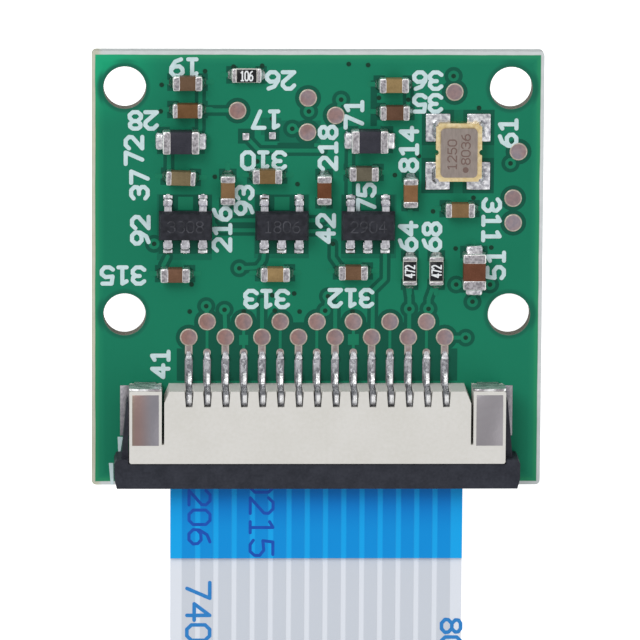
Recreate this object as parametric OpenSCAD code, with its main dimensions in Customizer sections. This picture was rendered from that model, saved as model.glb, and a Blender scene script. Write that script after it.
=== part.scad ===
// Camera module: a green circuit board with a ribbon connector and small parts on its upper side,
// a sensor with its lens on the lower side, and a 15-way ribbon cable folded up behind it.
// The lens points down. The origin is under the board's centre, on the plane that the lens rim rests on.

/* [Board] */
// Width of the circuit board
board_w = 24.6; // [24:0.1:30]
// Height of the circuit board, from the connector's edge to the far edge
board_h = 24; // [23.5:0.1:28]
// Thickness of the circuit board
board_t = 1; // [0.6:0.1:1.6]
// Radius of the board's corners
board_corner_r = 0.25; // [0.1:0.05:1]

/* [Mounting holes] */
// Diameter of the four mounting holes
hole_d = 2.3; // [2:0.05:2.6]
// Spacing of the holes along the board
hole_dy = 12.5; // [12:0.1:13]
// Distance from the holes to the board's sides
hole_side = 1.8; // [1.7:0.05:2.2]
// Distance from the upper pair of holes to the board's far edge
hole_edge = 2; // [1.8:0.1:2.5]

/* [Lens and sensor] */
// Width of the square sensor holder
holder_w = 8.5; // [8:0.1:10]
// Wall of the sensor holder round the sensor
holder_wall = 0.9; // [0.6:0.05:1.1]
// Height of the sensor holder
holder_h = 3; // [2.8:0.1:4]
// Diameter of the lens barrel's head
barrel_d = 6.5; // [5.5:0.1:6.6]
// Diameter of the lens barrel inside its holder
barrel_neck_d = 5.9; // [5.3:0.1:6]
// Height of the holder above the lens barrel's rim
barrel_out = 1.2; // [0.8:0.1:2]
// Gap between the lens barrel's head and its holder
focus_gap = 0.1; // [0.05:0.05:0.3]
// Length of the lens barrel inside its holder
barrel_in = 1.5; // [1.2:0.05:1.6]
// Diameter of the lens barrel's bore
barrel_bore = 4.2; // [3.4:0.1:4.4]
// Diameter of the opening in front of the lens
aperture_d = 2.2; // [1.6:0.1:2.6]
// Thickness of the sensor's base plate
substrate_t = 0.3; // [0.2:0.05:0.5]
// Thickness of the flexible circuit behind the sensor
flex_t = 0.15; // [0.1:0.01:0.2]
// Width of the flexible circuit's tongue
flex_w = 6; // [4:0.1:8]
// Thickness of the foam pad between the sensor and the board
foam_t = 0.85; // [0.6:0.05:1.2]

/* [Ribbon connector] */
// Width of the connector housing
housing_w = 20.5; // [20:0.1:22]
// Depth of the connector housing
housing_d = 4; // [3.9:0.05:4.6]
// Height of the connector housing
housing_h = 2.5; // [2.4:0.05:3]
// Width of the housing's middle block
block_w = 16.7; // [16.5:0.05:17]
// Width of the slits between the middle block and the wings
slit_w = 0.14; // [0.1:0.01:0.2]
// Length of the slits
slit_len = 2.95; // [2.5:0.05:3.1]
// Width of one contact
contact_w = 0.3; // [0.24:0.01:0.34]
// Width of the latch over its ears
latch_w = 22.14; // [21.8:0.02:23.5]
// Depth of the latch bar
latch_d = 1.37; // [1.2:0.01:1.6]
// Height of the latch bar
latch_h = 2.3; // [2.2:0.05:2.4]
// Distance from the board's edge back to the latch
latch_setback = 0.25; // [0:0.05:0.5]
// Way that the latch slides out to let the ribbon go
latch_travel = 1.2; // [0.8:0.1:1.4]
// Gap round the sliding latch
latch_gap = 0.05; // [0.03:0.01:0.08]

/* [Ribbon cable] */
// Number of conductors
ways = 15; // [13:2:15]
// Spacing of the conductors
pitch = 1; // [1:0.01:1.02]
// Width of the ribbon
ribbon_w = 16; // [15.6:0.1:16.1]
// Thickness of the ribbon
ribbon_t = 0.15; // [0.1:0.01:0.2]
// Length of the blue stiffener at each end
stiffener_len = 8; // [6:0.5:12]
// Thickness of the blue stiffeners
stiffener_t = 0.2; // [0.15:0.01:0.22]
// Width of the band that holds the folded ribbon
band_w = 2.5; // [2:0.1:4]

/* [Small parts] */
// Length of a small chip part
chip_l = 1.6; // [1.5:0.05:1.7]
// Width of a small chip part
chip_w = 0.8; // [0.7:0.05:0.9]
// Height of a small capacitor
chip_h = 0.8; // [0.5:0.05:0.9]
// Height of a resistor
resistor_h = 0.45; // [0.35:0.05:0.55]
// Length of a large chip part
big_chip_l = 2; // [1.9:0.05:2.1]
// Width of a large chip part
big_chip_w = 1.25; // [1.1:0.05:1.35]
// Height of a large chip part
big_chip_h = 1.1; // [0.8:0.05:1.3]
// Length of a chip part's metal end
chip_end = 0.32; // [0.2:0.02:0.4]
// Width of the five-lead circuits
ic_w = 2.9; // [2.8:0.05:3]
// Depth of the five-lead circuits' bodies
ic_d = 1.6; // [1.5:0.05:1.7]
// Height of the five-lead circuits' bodies
ic_h = 1; // [0.8:0.05:1.1]
// Spacing of the leads
lead_pitch = 0.95; // [0.9:0.01:1]
// Width of one lead
lead_w = 0.4; // [0.3:0.02:0.5]
// Reach of the leads from the body's middle
lead_reach = 1.4; // [1.3:0.05:1.6]
// Width of the oscillator
oscillator_w = 2.5; // [2.4:0.05:2.6]
// Length of the oscillator
oscillator_l = 3.2; // [3.1:0.05:3.3]
// Height of the oscillator
oscillator_h = 0.9; // [0.7:0.05:1.1]

/* [Hidden] */
// Small parts: name, place from the midpoint between the upper holes, turn, kind and body colour.
// The places are for holes that lie layout_dx apart, and they spread with the real spacing.
layout_dx = 21;
CAPACITORS = [
    ["capacitor_1", [-7.1, 0.3], 0, "small", "#7a4e30"],
    ["capacitor_2", [-7.1, -1.2], 0, "small", "#8c4f26"],
    ["capacitor_3", [4.1, 0.2], 0, "small", "#a08050"],
    ["capacitor_4", [4.15, -1.3], 0, "small", "#6a4430"],
    ["capacitor_5", [-7.45, -4.9], -2, "small", "#8a6a40"],
    ["capacitor_6", [-4.9, -5.55], 90, "small", "#8c5a34"],
    ["capacitor_7", [-2.75, -4.8], 0, "small", "#7a5a3c"],
    ["capacitor_8", [0.35, -5.55], 90, "small", "#84482c"],
    ["capacitor_9", [2.5, -4.65], 0, "small", "#7c7058"],
    ["capacitor_10", [5.05, -5.7], 90, "small", "#96603a"],
    ["capacitor_11", [7.75, -6.65], 0, "small", "#8a6a48"],
    ["capacitor_12", [-7.75, -10.25], 0, "small", "#7a4e34"],
    ["capacitor_13", [-2.3, -10.2], 0, "small", "#a8885a"],
    ["capacitor_14", [1.95, -10.1], 0, "small", "#7e5638"],
    ["capacitor_15", [8.55, -10], 90, "large", "#7c4028"],
];
RESISTORS = [
    ["resistor_1", [-3.9, 0.7], 0],
    ["resistor_2", [5.05, -10.05], 90],
    ["resistor_3", [6.5, -10.05], 90],
];
INDUCTORS = [
    ["inductor_left", [-7.45, -2.9], 0],
    ["inductor_right", [2.8, -2.85], 0],
];
REGULATORS = [
    ["left", [-7.2, -7.5]],
    ["middle", [-1.95, -7.5]],
    ["right", [2.75, -7.5]],
];
oscillator_at = [7.65, -3.45];

// Heights and edges that follow from the sizes above.
flex_z = barrel_out + holder_h + substrate_t;
board_z = flex_z + flex_t + foam_t;
top_z = board_z + board_t;
board_far = board_h / 2;
board_near = -board_h / 2;
hole_dx = board_w - 2 * hole_side;
spread = hole_dx / layout_dx;
holes_far = board_far - hole_edge;
lens_y = holes_far - hole_dy;

// Connector: places along Y and the ribbon's slot.
latch_front = board_near + latch_setback;
housing_front = latch_front + latch_d + latch_gap;
housing_rear = housing_front + housing_d;
ribbon_v = 0.8;
slot_floor = 0.5;
slot_top = 1.5;
slot_half = ribbon_w / 2 + 0.2;
slot_depth = 3;
channel_w = contact_w + 0.06;
channel_floor = 0.2;
tongue_floor = ribbon_v + ribbon_t / 2 + stiffener_t + latch_gap;
tab_w = 1.45;
tab_len = 2.72;
tab_t = 0.15;
tab_x = (housing_w / 2 + block_w / 2 + slit_w) / 2;

// Fork contacts: reaches along Y from the housing's rear wall, and thicknesses.
tail_reach = 1.5;
tail_t = 0.14;
heel = 0.45;
spine_front = 0.5;
spine_rear = 0.06;
knee = 0.6;
upper_reach = 2.6;
lower_reach = 2.9;
fork_top = housing_h - 0.35;

// Channels for the contacts: how far the spine's room reaches back, and the mouth behind it.
spine_back = 1.05;
groove_gap = 0.2;
mouth_half = 0.26;
mouth_len = 0.87;
mouth_h = 0.6;

// Latch: what reaches into the housing follows from its travel, so it stays guided when it's out.
tongue_reach = latch_travel + 0.5;
arm_reach = latch_travel + 2.1;
arm_w = 0.38;
arm_h = 1.5;
arm_foot = 0.3;
ear_slant = 0.55;
ear_back = 0.25;

// Folded ribbon: how far each point lies from the board's edge, and its height above the floor.
ROUTE = [
    [-4.1, 7.3], [-0.5, 7.3], [4, 7.3], [8.5, 7.3], [12, 6.9], [15.5, 5.4], [19, 3.2],
    [22.5, 1.4], [26.5, 0.5], [31.5, 0.3], [40.5, 0.3], [43.5, 0.3], [46, 0.4], [49, 0.9],
    [51.5, 1.6], [54, 2.4], [55.8, 3.4], [56.3, 4.9], [55.4, 6.3], [53.2, 6.8], [50.4, 5.8],
    [47.8, 3.6], [45.5, 1.5], [43.5, 0.75], [40.5, 0.75], [38.4, 1.3], [35.5, 2.8], [31.6, 4.4],
    [28.3, 6.2], [26.6, 8.6], [27.4, 11], [30, 12], [32.9, 10.6], [36, 7.2], [38.6, 3],
    [40.5, 1.2], [43.5, 1.2], [45.3, 2.5], [48.2, 5.8], [51.6, 8], [55.5, 9], [59.5, 9.2],
    [67.5, 9.2],
];
bare_len = 4;
bare_t = 0.04;
band_at = 42;
band_t = 0.22;
layers = 3;
layer_step = 0.45;
overlap = 0.01;

// ---- Shared shapes -------------------------------------------------------------------------

// Flat rectangle with round corners, centred.
module rounded_rect(w, h, r) {
    square([w - 2 * r, h], center = true);
    square([w, h - 2 * r], center = true);
    for (x = [-1, 1], y = [-1, 1])
        translate([x * (w / 2 - r), y * (h / 2 - r)]) circle(r = r, $fn = 32);
}

// Box centred in X and Y that stands on z = 0.
module standing_box(size) {
    translate([-size[0] / 2, -size[1] / 2, 0]) cube(size);
}

// Draws a profile given as [y, z] points, spread over w along X and centred.
module across(w, points) {
    translate([-w / 2, 0, 0]) rotate([90, 0, 90]) linear_extrude(w) polygon(points);
}

// Puts its children on the board at a place measured from the midpoint between the upper holes.
module on_board(place, turn = 0) {
    translate([spread * place[0], holes_far + place[1], top_z]) rotate([0, 0, turn]) children();
}

// ---- Board -----------------------------------------------------------------------------------

module circuit_board() {
    color("#1b7a5c")
    difference() {
        translate([0, 0, board_z]) linear_extrude(board_t) rounded_rect(board_w, board_h, board_corner_r);
        for (x = [-hole_dx / 2, hole_dx / 2], y = [holes_far - hole_dy, holes_far])
            translate([x, y, board_z - 1]) cylinder(d = hole_d, h = board_t + 2, $fn = 64);
    }
}

// ---- Connector -------------------------------------------------------------------------------

// X of each contact.
function way_x(i) = (i - (ways - 1) / 2) * pitch;

// The housing's own frame: rear wall at y = 0, front towards -Y, foot at z = 0.
module at_housing() {
    translate([0, housing_rear, top_z]) children();
}

// One contact's channel: open to the rear, with an upper and a lower groove along the slot.
module contact_channel() {
    half = channel_w / 2;
    translate([-half, -spine_back, channel_floor])
        cube([channel_w, spine_back + 0.1, housing_h - channel_floor - 0.2]);
    translate([-half, -slot_depth - groove_gap, channel_floor])
        cube([channel_w, slot_depth, slot_floor]);
    translate([-half, -upper_reach - groove_gap, slot_top - overlap])
        cube([channel_w, upper_reach, fork_top - slot_top + overlap]);
    // the mouth in the rear top edge narrows as it goes forward
    translate([0, 0, housing_h - mouth_h]) linear_extrude(mouth_h + 1)
        polygon([[-mouth_half, 0.1], [mouth_half, 0.1], [half, -mouth_len], [-half, -mouth_len]]);
}

// Pocket in a wing's top for the solder tab, with the way down to its foot.
module tab_pocket() {
    translate([-tab_w / 2, -0.55 - tab_len, housing_h - tab_t]) cube([tab_w, tab_len, 1]);
    translate([-tab_w / 2, -0.55 - tab_t, -0.1]) cube([tab_w, tab_t, housing_h]);
    translate([-tab_w / 2, -0.6, -0.1]) cube([tab_w, 1, tab_t + 0.1]);
}

module connector_housing() {
    color("#d9d7d2")
    at_housing()
    difference() {
        translate([0, -housing_d / 2, 0]) linear_extrude(housing_h)
            rounded_rect(housing_w, housing_d, 0.12);
        // ribbon slot, with a lead-in at its mouth
        translate([-slot_half, -housing_d - 1, slot_floor])
            cube([2 * slot_half, slot_depth + 1, slot_top - slot_floor]);
        across(2 * slot_half, [
            [-housing_d - 0.1, slot_floor - 0.2], [-housing_d + 0.3, slot_floor + 0.1],
            [-housing_d + 0.3, slot_top - 0.1], [-housing_d - 0.1, slot_top + 0.2],
        ]);
        for (i = [0 : ways - 1]) translate([way_x(i), 0, 0]) contact_channel();
        for (side = [-1, 1]) {
            // slit beside the middle block, and the block's chamfered rear corner
            translate([side * (block_w + slit_w) / 2, 0.5 - (slit_len + 0.5) / 2, -0.5])
                standing_box([slit_w, slit_len + 0.5, housing_h + 1]);
            translate([side * block_w / 2, 0, -0.5]) scale([side, 1, 1]) linear_extrude(housing_h + 1)
                polygon([[-0.27, 0.1], [-0.27, 0], [0, -0.66], [0.01, 0.1]]);
            translate([side * tab_x, 0, 0]) tab_pocket();
        }
    }
}

// One fork contact: a tail on the board, a spine in the rear wall and two arms along the slot.
module contact() {
    bump = ribbon_v - ribbon_t / 2 - bare_t;
    arm_z = slot_top + 2 * tail_t;
    across(contact_w, [
        // tail and the rise from it
        [heel, 0], [tail_reach, 0], [tail_reach, tail_t], [tail_reach / 2, 1.3 * tail_t],
        [heel - 0.1, knee - 0.08], [-spine_rear, knee],
        // spine and upper arm
        [-spine_rear, fork_top - tail_t], [-spine_rear - tail_t, fork_top], [-spine_front - 0.2, fork_top],
        [-upper_reach, fork_top - 0.2], [-upper_reach, arm_z - 0.16], [-upper_reach + 0.3, arm_z],
        [-spine_front, arm_z],
        // lower arm, with the bump that presses on the ribbon
        [-spine_front, knee], [-upper_reach + 0.9, slot_floor], [-upper_reach + 0.4, bump],
        [-upper_reach + 0.15, bump], [-lower_reach, slot_floor - 0.08],
        [-lower_reach, channel_floor + 0.08], [-upper_reach + 0.9, channel_floor],
        [0.05, channel_floor], [heel - 0.2, tail_t],
    ]);
}

module connector_contacts() {
    color("#c8ccd2")
    at_housing()
    for (i = [0 : ways - 1]) translate([way_x(i), 0, 0]) contact();
}

// Solder tab: a plate in the wing's top, a leg down through the wing and a curled foot behind it.
module solder_tab() {
    leg = -0.55;
    across(tab_w, [
        [leg, housing_h], [leg - tab_len, housing_h], [leg - tab_len, housing_h - tab_t],
        [leg - tab_t, housing_h - tab_t], [leg - tab_t, 0], [0.25, 0], [0.32, 0.1], [0.32, 0.5],
        [0.2, 0.62], [0.05, 0.62], [0.05, tab_t], [leg, tab_t],
    ]);
}

module solder_tab_left() {
    color("#937c79") at_housing() translate([-tab_x, 0, 0]) solder_tab();
}

module solder_tab_right() {
    color("#949095") at_housing() translate([tab_x, 0, 0]) solder_tab();
}

// Latch: a bar with ears across the mouth, a tongue over the ribbon and two arms with wedge sides.
module connector_latch() {
    rear = -latch_gap;
    front = rear - latch_d;
    arm_in = housing_w / 2 + latch_gap;
    color("#30323c")
    translate([0, housing_front, top_z])
    difference() {
        union() {
            // bar in plan, its front corners slanted, its ears reaching back beside the housing
            translate([0, 0, latch_gap]) linear_extrude(latch_h)
                for (side = [-1, 1]) scale([side, 1]) polygon([
                    [-overlap, front], [latch_w / 2 - ear_slant / 4, front],
                    [latch_w / 2, front + ear_slant], [latch_w / 2, rear],
                    [latch_w / 2 - ear_back / 2, rear + ear_back], [arm_in, rear + ear_back],
                    [arm_in, rear], [-overlap, rear],
                ]);
            for (side = [-1, 1]) scale([side, 1, 1]) translate([0, 0, arm_foot]) linear_extrude(arm_h)
                polygon([
                    [arm_in, rear - overlap], [arm_in + arm_w, rear - overlap],
                    [arm_in + arm_w, rear + ear_back - latch_gap],
                    [arm_in + arm_w / 4, arm_reach], [arm_in, arm_reach],
                ]);
            // tongue, thinned towards its tip
            across(2 * slot_half - 4 * latch_gap, [
                [rear - overlap, tongue_floor], [tongue_reach, tongue_floor],
                [tongue_reach, slot_top - 3 * latch_gap], [tongue_reach - 6 * latch_gap, slot_top - latch_gap],
                [rear - overlap, slot_top - latch_gap],
            ]);
        }
        // way out for the ribbon under the bar
        translate([-slot_half, front - 1, -1])
            cube([2 * slot_half, latch_d + 1 + overlap, tongue_floor + 1]);
    }
}

// ---- Small parts -----------------------------------------------------------------------------

// Chip part: a body between two slightly larger metal ends, edges broken along its length.
module chip(l, w, h, end) {
    c = 0.06;
    rotate([0, 0, 90]) {
        across_bar(l - 2 * end + 2 * overlap, w - 0.06, h - 0.03, c, 0);
        for (side = [-1, 1]) translate([0, side * (l - end) / 2, 0]) across_bar(end, w, h, c, 0);
    }
}

// Bar along Y with a broken-edged section, centred on its length, foot at z = 0.
module across_bar(l, w, h, c, z) {
    translate([0, l / 2, z]) rotate([90, 0, 0]) linear_extrude(l)
        polygon([
            [-w / 2 + c, 0], [w / 2 - c, 0], [w / 2, c], [w / 2, h - c], [w / 2 - c, h],
            [-w / 2 + c, h], [-w / 2, h - c], [-w / 2, c],
        ]);
}

module capacitor(c) {
    color(c[4])
    on_board(c[1], c[2])
    if (c[3] == "large") chip(big_chip_l, big_chip_w, big_chip_h, chip_end + 0.1);
    else chip(chip_l, chip_w, chip_h, chip_end);
}

module resistor(r) {
    color("#17181c") on_board(r[1], r[2]) chip(chip_l, chip_w, resistor_h, chip_end - 0.04);
}

module inductor(l) {
    color("#33363c") on_board(l[1], l[2]) chip(big_chip_l, big_chip_w, big_chip_h, chip_end + 0.13);
}

// Moulded body of a five-lead circuit: two drafted halves that meet in a waist as thick as a lead.
lead_t = 0.15;
ic_foot = 0.1;
module regulator(u) {
    waist = ic_foot + ic_h / 2 - lead_t / 2;
    draft = 0.1;
    color("#1c1d21")
    on_board(u[1]) {
        hull() {
            translate([0, 0, ic_foot]) standing_box([ic_w - 2 * draft, ic_d - 2 * draft, overlap]);
            translate([0, 0, waist]) standing_box([ic_w, ic_d, lead_t]);
            translate([0, 0, ic_foot + ic_h - overlap])
                standing_box([ic_w - 2 * draft, ic_d - 2 * draft, overlap]);
        }
    }
}

// The five gull-wing leads: two on the far side and three on the near side.
module regulator_leads(u) {
    side_y = ic_d / 2;
    waist = ic_foot + ic_h / 2;
    color("#d0d2d6")
    on_board(u[1])
    for (lead = [[-1, 1], [1, 1], [-1, -1], [0, -1], [1, -1]])
        translate([lead[0] * lead_pitch, 0, 0]) scale([1, lead[1], 1])
            across(lead_w, [
                [side_y, waist - lead_t / 2], [side_y + 0.12, waist - lead_t / 2],
                [side_y + 0.2, 0], [lead_reach, 0], [lead_reach, lead_t],
                [side_y + 0.32, lead_t], [side_y + 0.24, waist + lead_t / 2],
                [side_y, waist + lead_t / 2],
            ]);
}

// Ceramic base of the oscillator, with a half-round notch in each long side and each corner.
lid_t = 0.2;
module oscillator_base() {
    color("#d9b45a")
    on_board(oscillator_at)
    difference() {
        linear_extrude(oscillator_h - lid_t) rounded_rect(oscillator_w, oscillator_l, 0.1);
        for (side = [-1, 1])
            translate([side * oscillator_w / 2, 0, -1]) cylinder(r = 0.15, h = 3, $fn = 32);
        for (x = [-1, 1], y = [-1, 1])
            translate([x * oscillator_w / 2, y * oscillator_l / 2, -1]) cylinder(r = 0.18, h = 3, $fn = 32);
    }
}

module oscillator_lid() {
    color("#9c928c")
    on_board(oscillator_at) translate([0, 0, oscillator_h - lid_t])
        linear_extrude(lid_t) rounded_rect(oscillator_w - 0.5, oscillator_l - 0.5, 0.25);
}

// ---- Sensor and lens -------------------------------------------------------------------------

socket_h = 0.5;
plug_y = holder_w / 2 + 3.2;

// Puts its children on the lens axis, which lies between the lower two holes.
module at_lens(z = 0) {
    translate([0, lens_y, z]) children();
}

module foam_pad() {
    color("#2a2a2c") at_lens(flex_z + flex_t) standing_box([holder_w - 0.5, holder_w - 0.5, foam_t]);
}

// Flexible circuit: a pad behind the sensor and a tongue to the plug.
module sensor_flex() {
    color("#8a5a1e") at_lens(flex_z) linear_extrude(flex_t) {
        rounded_rect(holder_w, holder_w, 0.2);
        translate([-flex_w / 2, 0]) square([flex_w, plug_y - 1]);
        translate([0, plug_y]) rounded_rect(flex_w + 2, 3.2, 0.4);
    }
}

// Plug on the flexible circuit, with a raised rim round its middle.
module flex_plug() {
    depth = foam_t - socket_h;
    color("#26272b") at_lens(flex_z + flex_t) translate([0, plug_y, 0]) {
        standing_box([flex_w + 0.6, 1.2, depth]);
        standing_box([flex_w + 1.2, 2.2, depth / 2]);
    }
}

// Socket on the board that the plug meets.
module board_socket() {
    color("#3a3b40") at_lens(board_z - socket_h) translate([0, plug_y, 0])
        standing_box([flex_w + 1.2, 2.4, socket_h]);
}

module sensor_base() {
    color("#2c5a48") at_lens(flex_z - substrate_t)
        linear_extrude(substrate_t) rounded_rect(holder_w, holder_w, 0.2);
}

sensor_t = 0.3;
sensor_size = [5.6, 4.8];
module image_sensor() {
    color("#3a3346") at_lens(flex_z - substrate_t - sensor_t)
        standing_box([sensor_size[0], sensor_size[1], sensor_t]);
}

// Holder: a square shell over the sensor, with a ledge for the filter and a bore for the barrel.
filter_t = 0.2;
filter_w = 5.4;
filter_ledge = 0.3;
module sensor_holder() {
    roof = barrel_out + barrel_in;
    top = barrel_out + holder_h;
    color("#1d1e21")
    at_lens()
    difference() {
        translate([0, 0, barrel_out]) linear_extrude(holder_h) rounded_rect(holder_w, holder_w, 0.3);
        translate([0, 0, barrel_out - 1]) cylinder(d = barrel_neck_d, h = barrel_in + 1, $fn = 96);
        translate([0, 0, roof - 1]) cylinder(d = barrel_bore, h = holder_h, $fn = 96);
        translate([0, 0, roof + filter_ledge]) standing_box([filter_w, filter_w, holder_h]);
        translate([0, 0, top - sensor_t - 0.25])
            standing_box([holder_w - 2 * holder_wall, holder_w - 2 * holder_wall, holder_h]);
    }
}

module infrared_filter() {
    color("#7fb6c8") at_lens(barrel_out + barrel_in + filter_ledge) standing_box([filter_w, filter_w, filter_t]);
}

// Barrel: a head with a chamfered rim and a conical mouth, a neck, and a bore that holds the lenses.
mouth_t = 0.5;
mouth_slope = 0.9;
rim_chamfer = 0.25;
lens_seat = mouth_t + 0.2;
module lens_barrel() {
    r = barrel_d / 2;
    head = barrel_out - focus_gap;
    color("#1a1a1c")
    at_lens()
    rotate_extrude($fn = 96) polygon([
        [aperture_d / 2, mouth_t], [aperture_d / 2 + mouth_slope, 0], [r - rim_chamfer, 0],
        [r, rim_chamfer], [r, head], [barrel_neck_d / 2, head],
        [barrel_neck_d / 2, barrel_out + barrel_in], [barrel_bore / 2, barrel_out + barrel_in],
        [barrel_bore / 2, lens_seat], [aperture_d / 2, lens_seat],
    ]);
}

// A lens of the stack: a flanged disc whose two faces bulge by b1 (front) and b2 (rear).
module lens(z, t, b1, b2, clear_r) {
    steps = 8;
    r = barrel_bore / 2;
    front = [for (i = [0 : steps]) let (x = clear_r * i / steps) [x, -b1 * (1 - pow(x / clear_r, 2))]];
    rear = [for (i = [steps : -1 : 0]) let (x = clear_r * i / steps) [x, t + b2 * (1 - pow(x / clear_r, 2))]];
    at_lens(z) rotate_extrude($fn = 96) polygon(concat(front, [[r, 0], [r, t]], rear));
}

lens_t = 0.5;
module front_lens() {
    color("#9fc0cc") lens(lens_seat, lens_t, 0.18, 0, aperture_d / 2);
}

module middle_lens() {
    color("#9fc0cc") lens(lens_seat + lens_t, lens_t, 0, -0.15, aperture_d / 2);
}

module rear_lens() {
    color("#9fc0cc") lens(lens_seat + 2 * lens_t, lens_t, -0.12, 0.12, aperture_d / 2 + 0.3);
}

// ---- Ribbon cable ----------------------------------------------------------------------------

// Points of the route in the model's own [y, z].
route = [for (p = ROUTE) [board_near - p[0], p[1]]];

// Unit direction along the route at point i, halfway between the directions on both sides.
function unit(v) = v / norm(v);
function way_in(i) = unit(route[i] - route[i - 1]);
function way_out(i) = unit(route[i + 1] - route[i]);
function heading(i) =
    i == 0 ? way_out(0) : i == len(route) - 1 ? way_in(i) : unit(way_in(i) + way_out(i));

// The ribbon as one swept strip: a flat section at every point of the route.
module ribbon_cable() {
    n = len(route);
    half = ribbon_w / 2;
    t = ribbon_t / 2;
    rings = [
        for (i = [0 : n - 1]) let (d = heading(i), side = [-d[1], d[0]])
        for (c = [[-half, -t], [half, -t], [half, t], [-half, t]])
        [c[0], route[i][0] + side[0] * c[1], route[i][1] + side[1] * c[1]]
    ];
    walls = [
        for (i = [0 : n - 2], k = [0 : 3])
        [4 * i + k, 4 * i + (k + 1) % 4, 4 * i + 4 + (k + 1) % 4, 4 * i + 4 + k]
    ];
    color("#d4d8e2")
    polyhedron(rings, concat(walls, [[3, 2, 1, 0], [for (k = [0 : 3]) 4 * (n - 1) + k]]), convexity = 6);
}

// The ribbon's two ends, each with the way back along the ribbon (-1 or 1).
ends = [[route[0], -1], [route[len(route) - 1], 1]];

// A stiffener lies on the ribbon's upper face, on the other side from the bare conductor ends.
module stiffener(end) {
    color("#1a8cdb")
    translate([0, end[0][0] + end[1] * stiffener_len / 2, end[0][1] + ribbon_t / 2])
        standing_box([ribbon_w, stiffener_len, stiffener_t]);
}

module stiffener_near() {
    stiffener(ends[0]);
}

module stiffener_far() {
    stiffener(ends[1]);
}

// Bare conductor ends under both ends of the ribbon.
module ribbon_contacts() {
    color("#d8d4c8")
    for (end = ends, i = [0 : ways - 1])
        translate([way_x(i), end[0][0] + end[1] * bare_len / 2, end[0][1] - ribbon_t / 2 - bare_t])
            standing_box([0.7 * pitch, bare_len, bare_t]);
}

// Band round the folded layers, which rests on the floor.
module ribbon_band() {
    inner_w = ribbon_w + 0.1;
    inner_h = (layers - 1) * layer_step + ribbon_t;
    color("#e4e2da")
    translate([0, board_near - band_at, 0])
    difference() {
        standing_box([inner_w + 2 * band_t, band_w, inner_h + 2 * band_t + 0.005]);
        translate([0, 0, band_t + 0.005]) standing_box([inner_w, band_w + 1, inner_h]);
    }
}

// ---- Assembly --------------------------------------------------------------------------------

circuit_board();
connector_housing();
connector_contacts();
connector_latch();
solder_tab_left();
solder_tab_right();
for (u = REGULATORS) {
    regulator(u);
    regulator_leads(u);
}
oscillator_base();
oscillator_lid();
for (c = CAPACITORS) capacitor(c);
for (r = RESISTORS) resistor(r);
for (l = INDUCTORS) inductor(l);
foam_pad();
sensor_flex();
flex_plug();
board_socket();
sensor_base();
image_sensor();
sensor_holder();
infrared_filter();
lens_barrel();
rear_lens();
middle_lens();
front_lens();
ribbon_cable();
stiffener_near();
stiffener_far();
ribbon_contacts();
ribbon_band();
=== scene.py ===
# %% [markdown]
# # A camera module, from bare solids to a finished look
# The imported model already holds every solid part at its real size. This notebook dresses it: first the
# camera and the folded ribbon cable, then the board with its copper, legend and solder, then the small
# parts, the connector and the lens side, and last the light. Everything is measured in millimetres here
# and scaled to metres when a piece is made, because the real drawings of such a board are in millimetres.

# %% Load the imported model
import math

import bmesh
import bpy
from mathutils import Matrix, Vector
from mathutils.geometry import delaunay_2d_cdt


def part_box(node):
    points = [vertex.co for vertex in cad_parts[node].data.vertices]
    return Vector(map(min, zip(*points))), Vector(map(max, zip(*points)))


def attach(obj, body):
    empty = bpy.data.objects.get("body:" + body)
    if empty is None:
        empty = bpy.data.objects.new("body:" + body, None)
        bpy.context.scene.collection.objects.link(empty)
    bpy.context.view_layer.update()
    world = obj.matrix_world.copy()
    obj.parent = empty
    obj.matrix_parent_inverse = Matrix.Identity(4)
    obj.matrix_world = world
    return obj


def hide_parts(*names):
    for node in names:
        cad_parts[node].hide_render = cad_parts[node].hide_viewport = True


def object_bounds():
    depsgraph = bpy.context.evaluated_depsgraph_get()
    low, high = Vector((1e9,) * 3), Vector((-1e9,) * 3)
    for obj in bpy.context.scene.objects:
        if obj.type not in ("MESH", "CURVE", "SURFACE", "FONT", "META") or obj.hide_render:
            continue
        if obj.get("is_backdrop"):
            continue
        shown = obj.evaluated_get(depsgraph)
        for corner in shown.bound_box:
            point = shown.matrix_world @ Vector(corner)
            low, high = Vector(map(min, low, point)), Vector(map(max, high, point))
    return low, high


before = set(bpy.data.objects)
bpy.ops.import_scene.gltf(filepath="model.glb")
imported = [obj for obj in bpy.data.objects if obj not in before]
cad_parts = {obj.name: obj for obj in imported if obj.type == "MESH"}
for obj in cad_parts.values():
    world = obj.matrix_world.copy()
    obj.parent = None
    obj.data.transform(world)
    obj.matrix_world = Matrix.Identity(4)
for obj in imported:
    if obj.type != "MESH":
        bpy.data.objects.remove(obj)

MM = 0.001
cad_low, cad_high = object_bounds()
print("CAD box in mm:", [round(v / MM, 2) for v in (*cad_low, *cad_high)])

# %% [markdown]
# The board's own box gives its middle, its edges and the height of its two faces, and the four screw
# holes are set out from its edges. A small function gives any node's box in millimetres.

# %% Places on the board
def box_mm(node):
    low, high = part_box(node)
    return low / MM, high / MM


board_low, board_high = box_mm("circuit_board")
half_w, half_h = board_high.x, board_high.y
top_z, under_z = board_high.z, board_low.z
hole_x, hole_far, hole_near, hole_r = 10.5, half_h - 2, half_h - 14.5, 1.15
print(f"board {2 * half_w:.1f} x {2 * half_h:.1f} mm, its top at {top_z:.2f} mm")

# %% [markdown]
# The camera comes first. It looks almost straight down, tipped a little towards the board's far edge and
# a little to the left. A long lens from far off keeps the board's sides nearly parallel, where a short
# one from close by would make the near edge look wider. An orthographic camera would hide all depth.

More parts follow.
